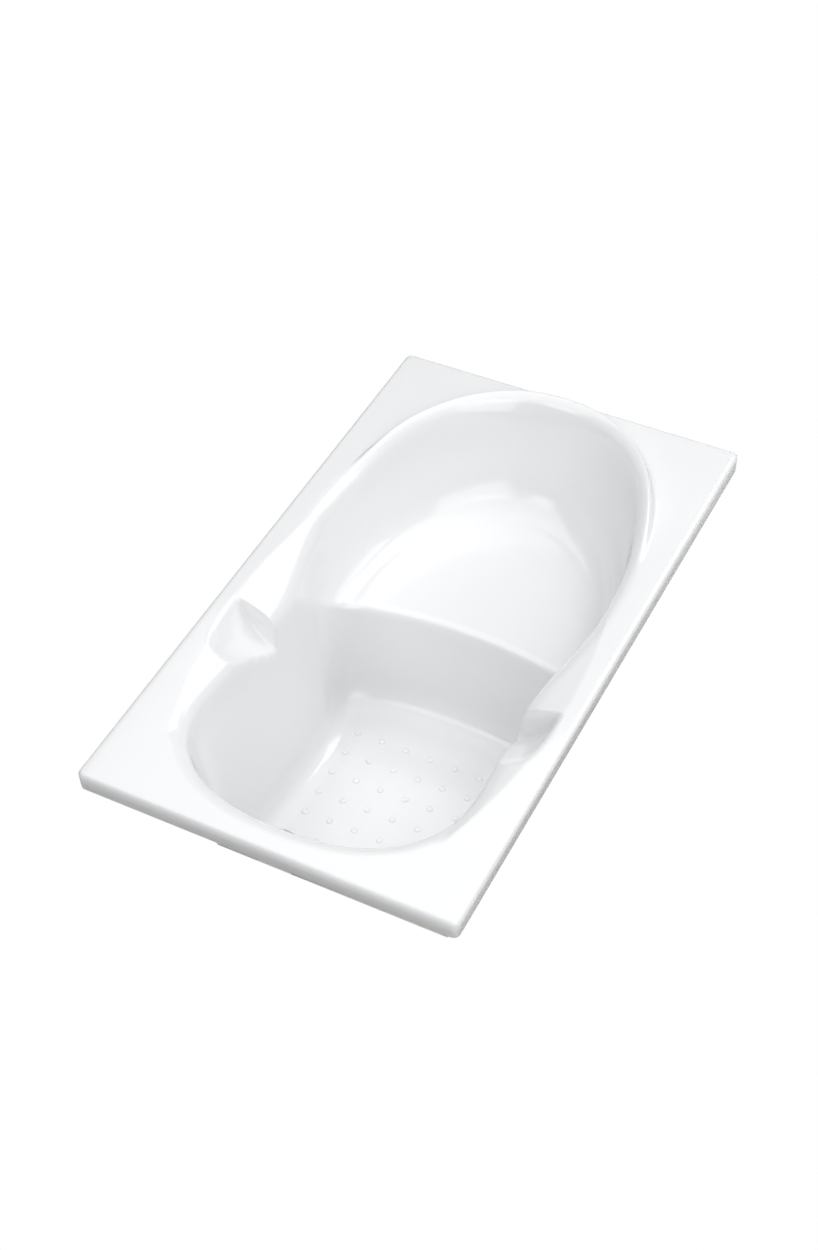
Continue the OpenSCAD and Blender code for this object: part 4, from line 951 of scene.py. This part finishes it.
def makeRods():
    s, tree = rodSizes, threadTree()
    core, coreFaces = lathe([
        (0, s["low"]), (s["root"] - s["foot"], s["low"]), (s["root"], s["low"] + s["foot"]),
        (s["root"], s["top"] - s["tip"]), (s["root"] - s["tip"], s["top"]), (0, s["top"])], s["sides"])
    low, high = s["nutAt"], s["nutAt"] + s["nutH"]
    inset, rise = s["nutEdge"]
    nut, nutFaces = lathe([(0, low), (s["nutR"] - inset, low), (s["nutR"], low + rise),
                           (s["nutR"], high - rise), (s["nutR"] - inset, high), (0, high)], 6)
    points = np.concatenate([core, nut])
    faces = coreFaces + [tuple(i + len(core) for i in f) for f in nutFaces]
    length = s["to"] - s["from"]
    for end, (x, y) in feet.items():
        rod = addMesh(camelName("foot_rod_" + end), points, faces)
        grown(rod, tree, Turns=length / s["pitch"], Radius=(s["radius"] - s["ridge"]) * mm,
              Start=s["from"] * mm, Height=length * mm, Ridge=s["ridge"] * mm)
        rod.data.transform(Matrix.Translation(Vector((x, y, 0)) * mm))
        faceOut(rod)
        markEdges(rod)
        finishPiece(rod, "foot_" + end, "fastener", "foot_rod_" + end)


hoseSizes = {
    "radius": 15, "wall": 2.4, "back": 28, "bend": 50, "rib": 1.8, "step": 7, "from": 36, "plain": 30,
    "inletZ": 98.625, "bodyEnd": 44, "sides": 32, "points": 160, "spacing": 1.0,
}
cableSizes = {  # places beside the hose and behind it, at the top and at the foot
    "radius": 2.5, "top": (6, 23.5), "foot": (21, 11), "from": 24, "sides": 16, "points": 140, "spacing": 2.0,
    "crossAfter": 40, "crossBefore": 10,
}


def hoseWay():  # a function that gives the hose's centre, and the side it bends away from, at a length
    h = hoseSizes
    aside = h["bend"] - h["back"]
    run = (overflowAt[2] - h["inletZ"] + aside * math.sin(lean) - h["bend"]) / math.cos(lean)
    midY = overflowAt[1] + run * math.sin(lean) + aside * math.cos(lean)
    midZ = h["inletZ"] + h["bend"]
    bend = h["bend"] * (math.pi / 2 - lean)

    def way(s):
        a = lean + min(bend, max(0, s - run)) / h["bend"]
        along = min(0, s - run) + max(0, s - run - bend)
        away = (-math.cos(a), -math.sin(a))
        y = midY + h["bend"] * away[0] + along * math.sin(a)
        return (y, midZ + h["bend"] * away[1] - along * math.cos(a)), away
    return way, run, run + bend + holeSizes["wasteY"] - h["bodyEnd"] - midY


def sweptTree():  # a pipe along a line, with ribs on part of it
    tree, given = newTree("sweptPipe", {"Radius": 0.015, "Rib Height": 0.0018, "Rib Step": 0.007,
                                        "Rib Start": 0.03, "Rib End": 0.38, "Spacing": 0.001, "Sides": 24})
    line = evenLine(tree, given["Geometry"], given["Spacing"])
    far = tree.nodes.new("GeometryNodeSplineParameter").outputs["Length"]
    turn = maths(tree, "DIVIDE", maths(tree, "SUBTRACT", far, given["Rib Start"]), given["Rib Step"])
    wave = maths(tree, "COSINE", maths(tree, "MULTIPLY", turn, 2 * math.pi))
    inside = maths(tree, "MULTIPLY", maths(tree, "GREATER_THAN", far, given["Rib Start"]),
                   maths(tree, "LESS_THAN", far, given["Rib End"]))
    rise = maths(tree, "MULTIPLY", maths(tree, "SUBTRACT", 1.0, wave), maths(tree, "MULTIPLY", inside, 0.5))
    radius = maths(tree, "ADD", given["Radius"], maths(tree, "MULTIPLY", rise, given["Rib Height"]))
    profile = addNode(tree, "GeometryNodeCurvePrimitiveCircle", {"Resolution": given["Sides"], "Radius": 1.0})
    pipe = addNode(tree, "GeometryNodeCurveToMesh", {"Curve": line, "Profile Curve": profile.outputs[0],
                                                     "Scale": radius, "Fill Caps": True})
    return finishTree(tree, pipe.outputs[0], finishes["hose"])


def lineMesh(name, paths):  # edges alone, for a tree to follow
    starts = np.cumsum([0] + [len(path) for path in paths])
    edges = [(a + i, a + i + 1) for a, path in zip(starts, paths) for i in range(len(path) - 1)]
    return addMesh(name, [p for path in paths for p in path], [], edges)


def openEnds(piece, wall):  # takes the two end caps away and gives the pipe a wall
    work = bmesh.new()
    work.from_mesh(piece.data)
    caps = [f for f in work.faces if len(f.verts) > 4]
    bmesh.ops.delete(work, geom=caps, context="FACES_ONLY")
    work.to_mesh(piece.data)
    work.free()
    thick = piece.modifiers.new("wall", "SOLIDIFY")
    thick.thickness, thick.offset = wall * mm, -1
    applied(piece)


def makeHose():
    h, c, tree = hoseSizes, cableSizes, sweptTree()
    way, run, end = hoseWay()
    hose = lineMesh("overflowHose", [[(0, *way(s)[0]) for s in np.linspace(h["from"], end, h["points"])]])
    # whole ribs, with at least half the plain length left at the foot
    ribs = math.floor((end - h["from"] - 1.5 * h["plain"]) / h["step"])
    grown(hose, tree, Radius=h["radius"] * mm, Rib_Height=h["rib"] * mm, Rib_Step=h["step"] * mm,
          Rib_Start=h["plain"] * mm, Rib_End=(h["plain"] + ribs * h["step"]) * mm,
          Spacing=h["spacing"] * mm, Sides=h["sides"])
    faceOut(hose)
    openEnds(hose, h["wall"])
    faceOut(hose)
    markEdges(hose)
    finishPiece(hose, "tub", "hose", "overflow_hose")
    points = []
    for s in np.linspace(c["from"], end, c["points"]):
        (y, z), away = way(s)
        share = float(ramp(s, h["from"] + c["crossAfter"], run - c["crossBefore"]))
        across, off = (mix(c["top"][k], c["foot"][k], share) for k in (0, 1))
        points.append((across, y + away[0] * off, z + away[1] * off))
    cable = lineMesh("controlCable", [points])
    grown(cable, tree, Radius=c["radius"] * mm, Rib_Height=0.0, Spacing=c["spacing"] * mm, Sides=c["sides"])
    faceOut(cable)
    markEdges(cable)
    finishPiece(cable, "tub", "cable", "control_cable")


weldSizes = {
    "railX": 130, "railZ": 97.625, "tube": 25, "crossY": (-305, -5, 366), "postY": (166, 330),
    "boardZ": 122.625, "seatZ": 324, "bead": 1.5, "step": 1.7, "inset": 0.5, "below": 3,
}


def beadTree():  # small uneven lumps along each seam
    tree, given = newTree("weldBeads", {"Bead Radius": 0.0015, "Step": 0.0017, "Seed": 7})
    line = evenLine(tree, given["Geometry"], given["Step"])
    ball = addNode(tree, "GeometryNodeMeshIcoSphere", {"Radius": given["Bead Radius"], "Subdivisions": 2})
    shares = {2: 0.8, 3: 1.15, "Seed": given["Seed"]}
    size = addNode(tree, "FunctionNodeRandomValue", shares, data_type="FLOAT")
    beads = addNode(tree, "GeometryNodeInstanceOnPoints", {"Points": line, "Instance": ball.outputs[0],
                                                           "Scale": size.outputs[1]})
    return finishTree(tree, beads.outputs[0], finishes["frame"])


def makeWelds():
    s, paths = weldSizes, []
    h, r = s["tube"] / 2, s["tube"] / 2 - s["inset"]
    low, high = s["railZ"] + s["inset"], s["railZ"] + s["tube"] - s["below"]
    for side in (-1, 1):
        x, mid = side * (s["railX"] - h), side * s["railX"]
        for y in s["crossY"]:  # a cross tube against the side of its rail
            paths.append([(x, y - h, high), (x, y - h, low), (x, y + h, low), (x, y + h, high)])
        for y in s["postY"]:  # once round each end of a post
            paths += [[(mid + i * r, y + j * r, z) for i, j in ((-1, -1), (1, -1), (1, 1), (-1, 1), (-1, -1))]
                      for z in (s["boardZ"], s["seatZ"])]
    welds = lineMesh("weldBeads", paths)
    grown(welds, beadTree(), Bead_Radius=s["bead"] * mm, Step=s["step"] * mm, Seed=7)
    finishPiece(welds, "tub", "frame")


makeRods()
makeHose()
makeWelds()
print("rods, hose, cable and welds made")
for name, cad in frame["nodes"].items():
    if not cad.hide_render:
        softCopy(name, cad)
print("edges rounded")
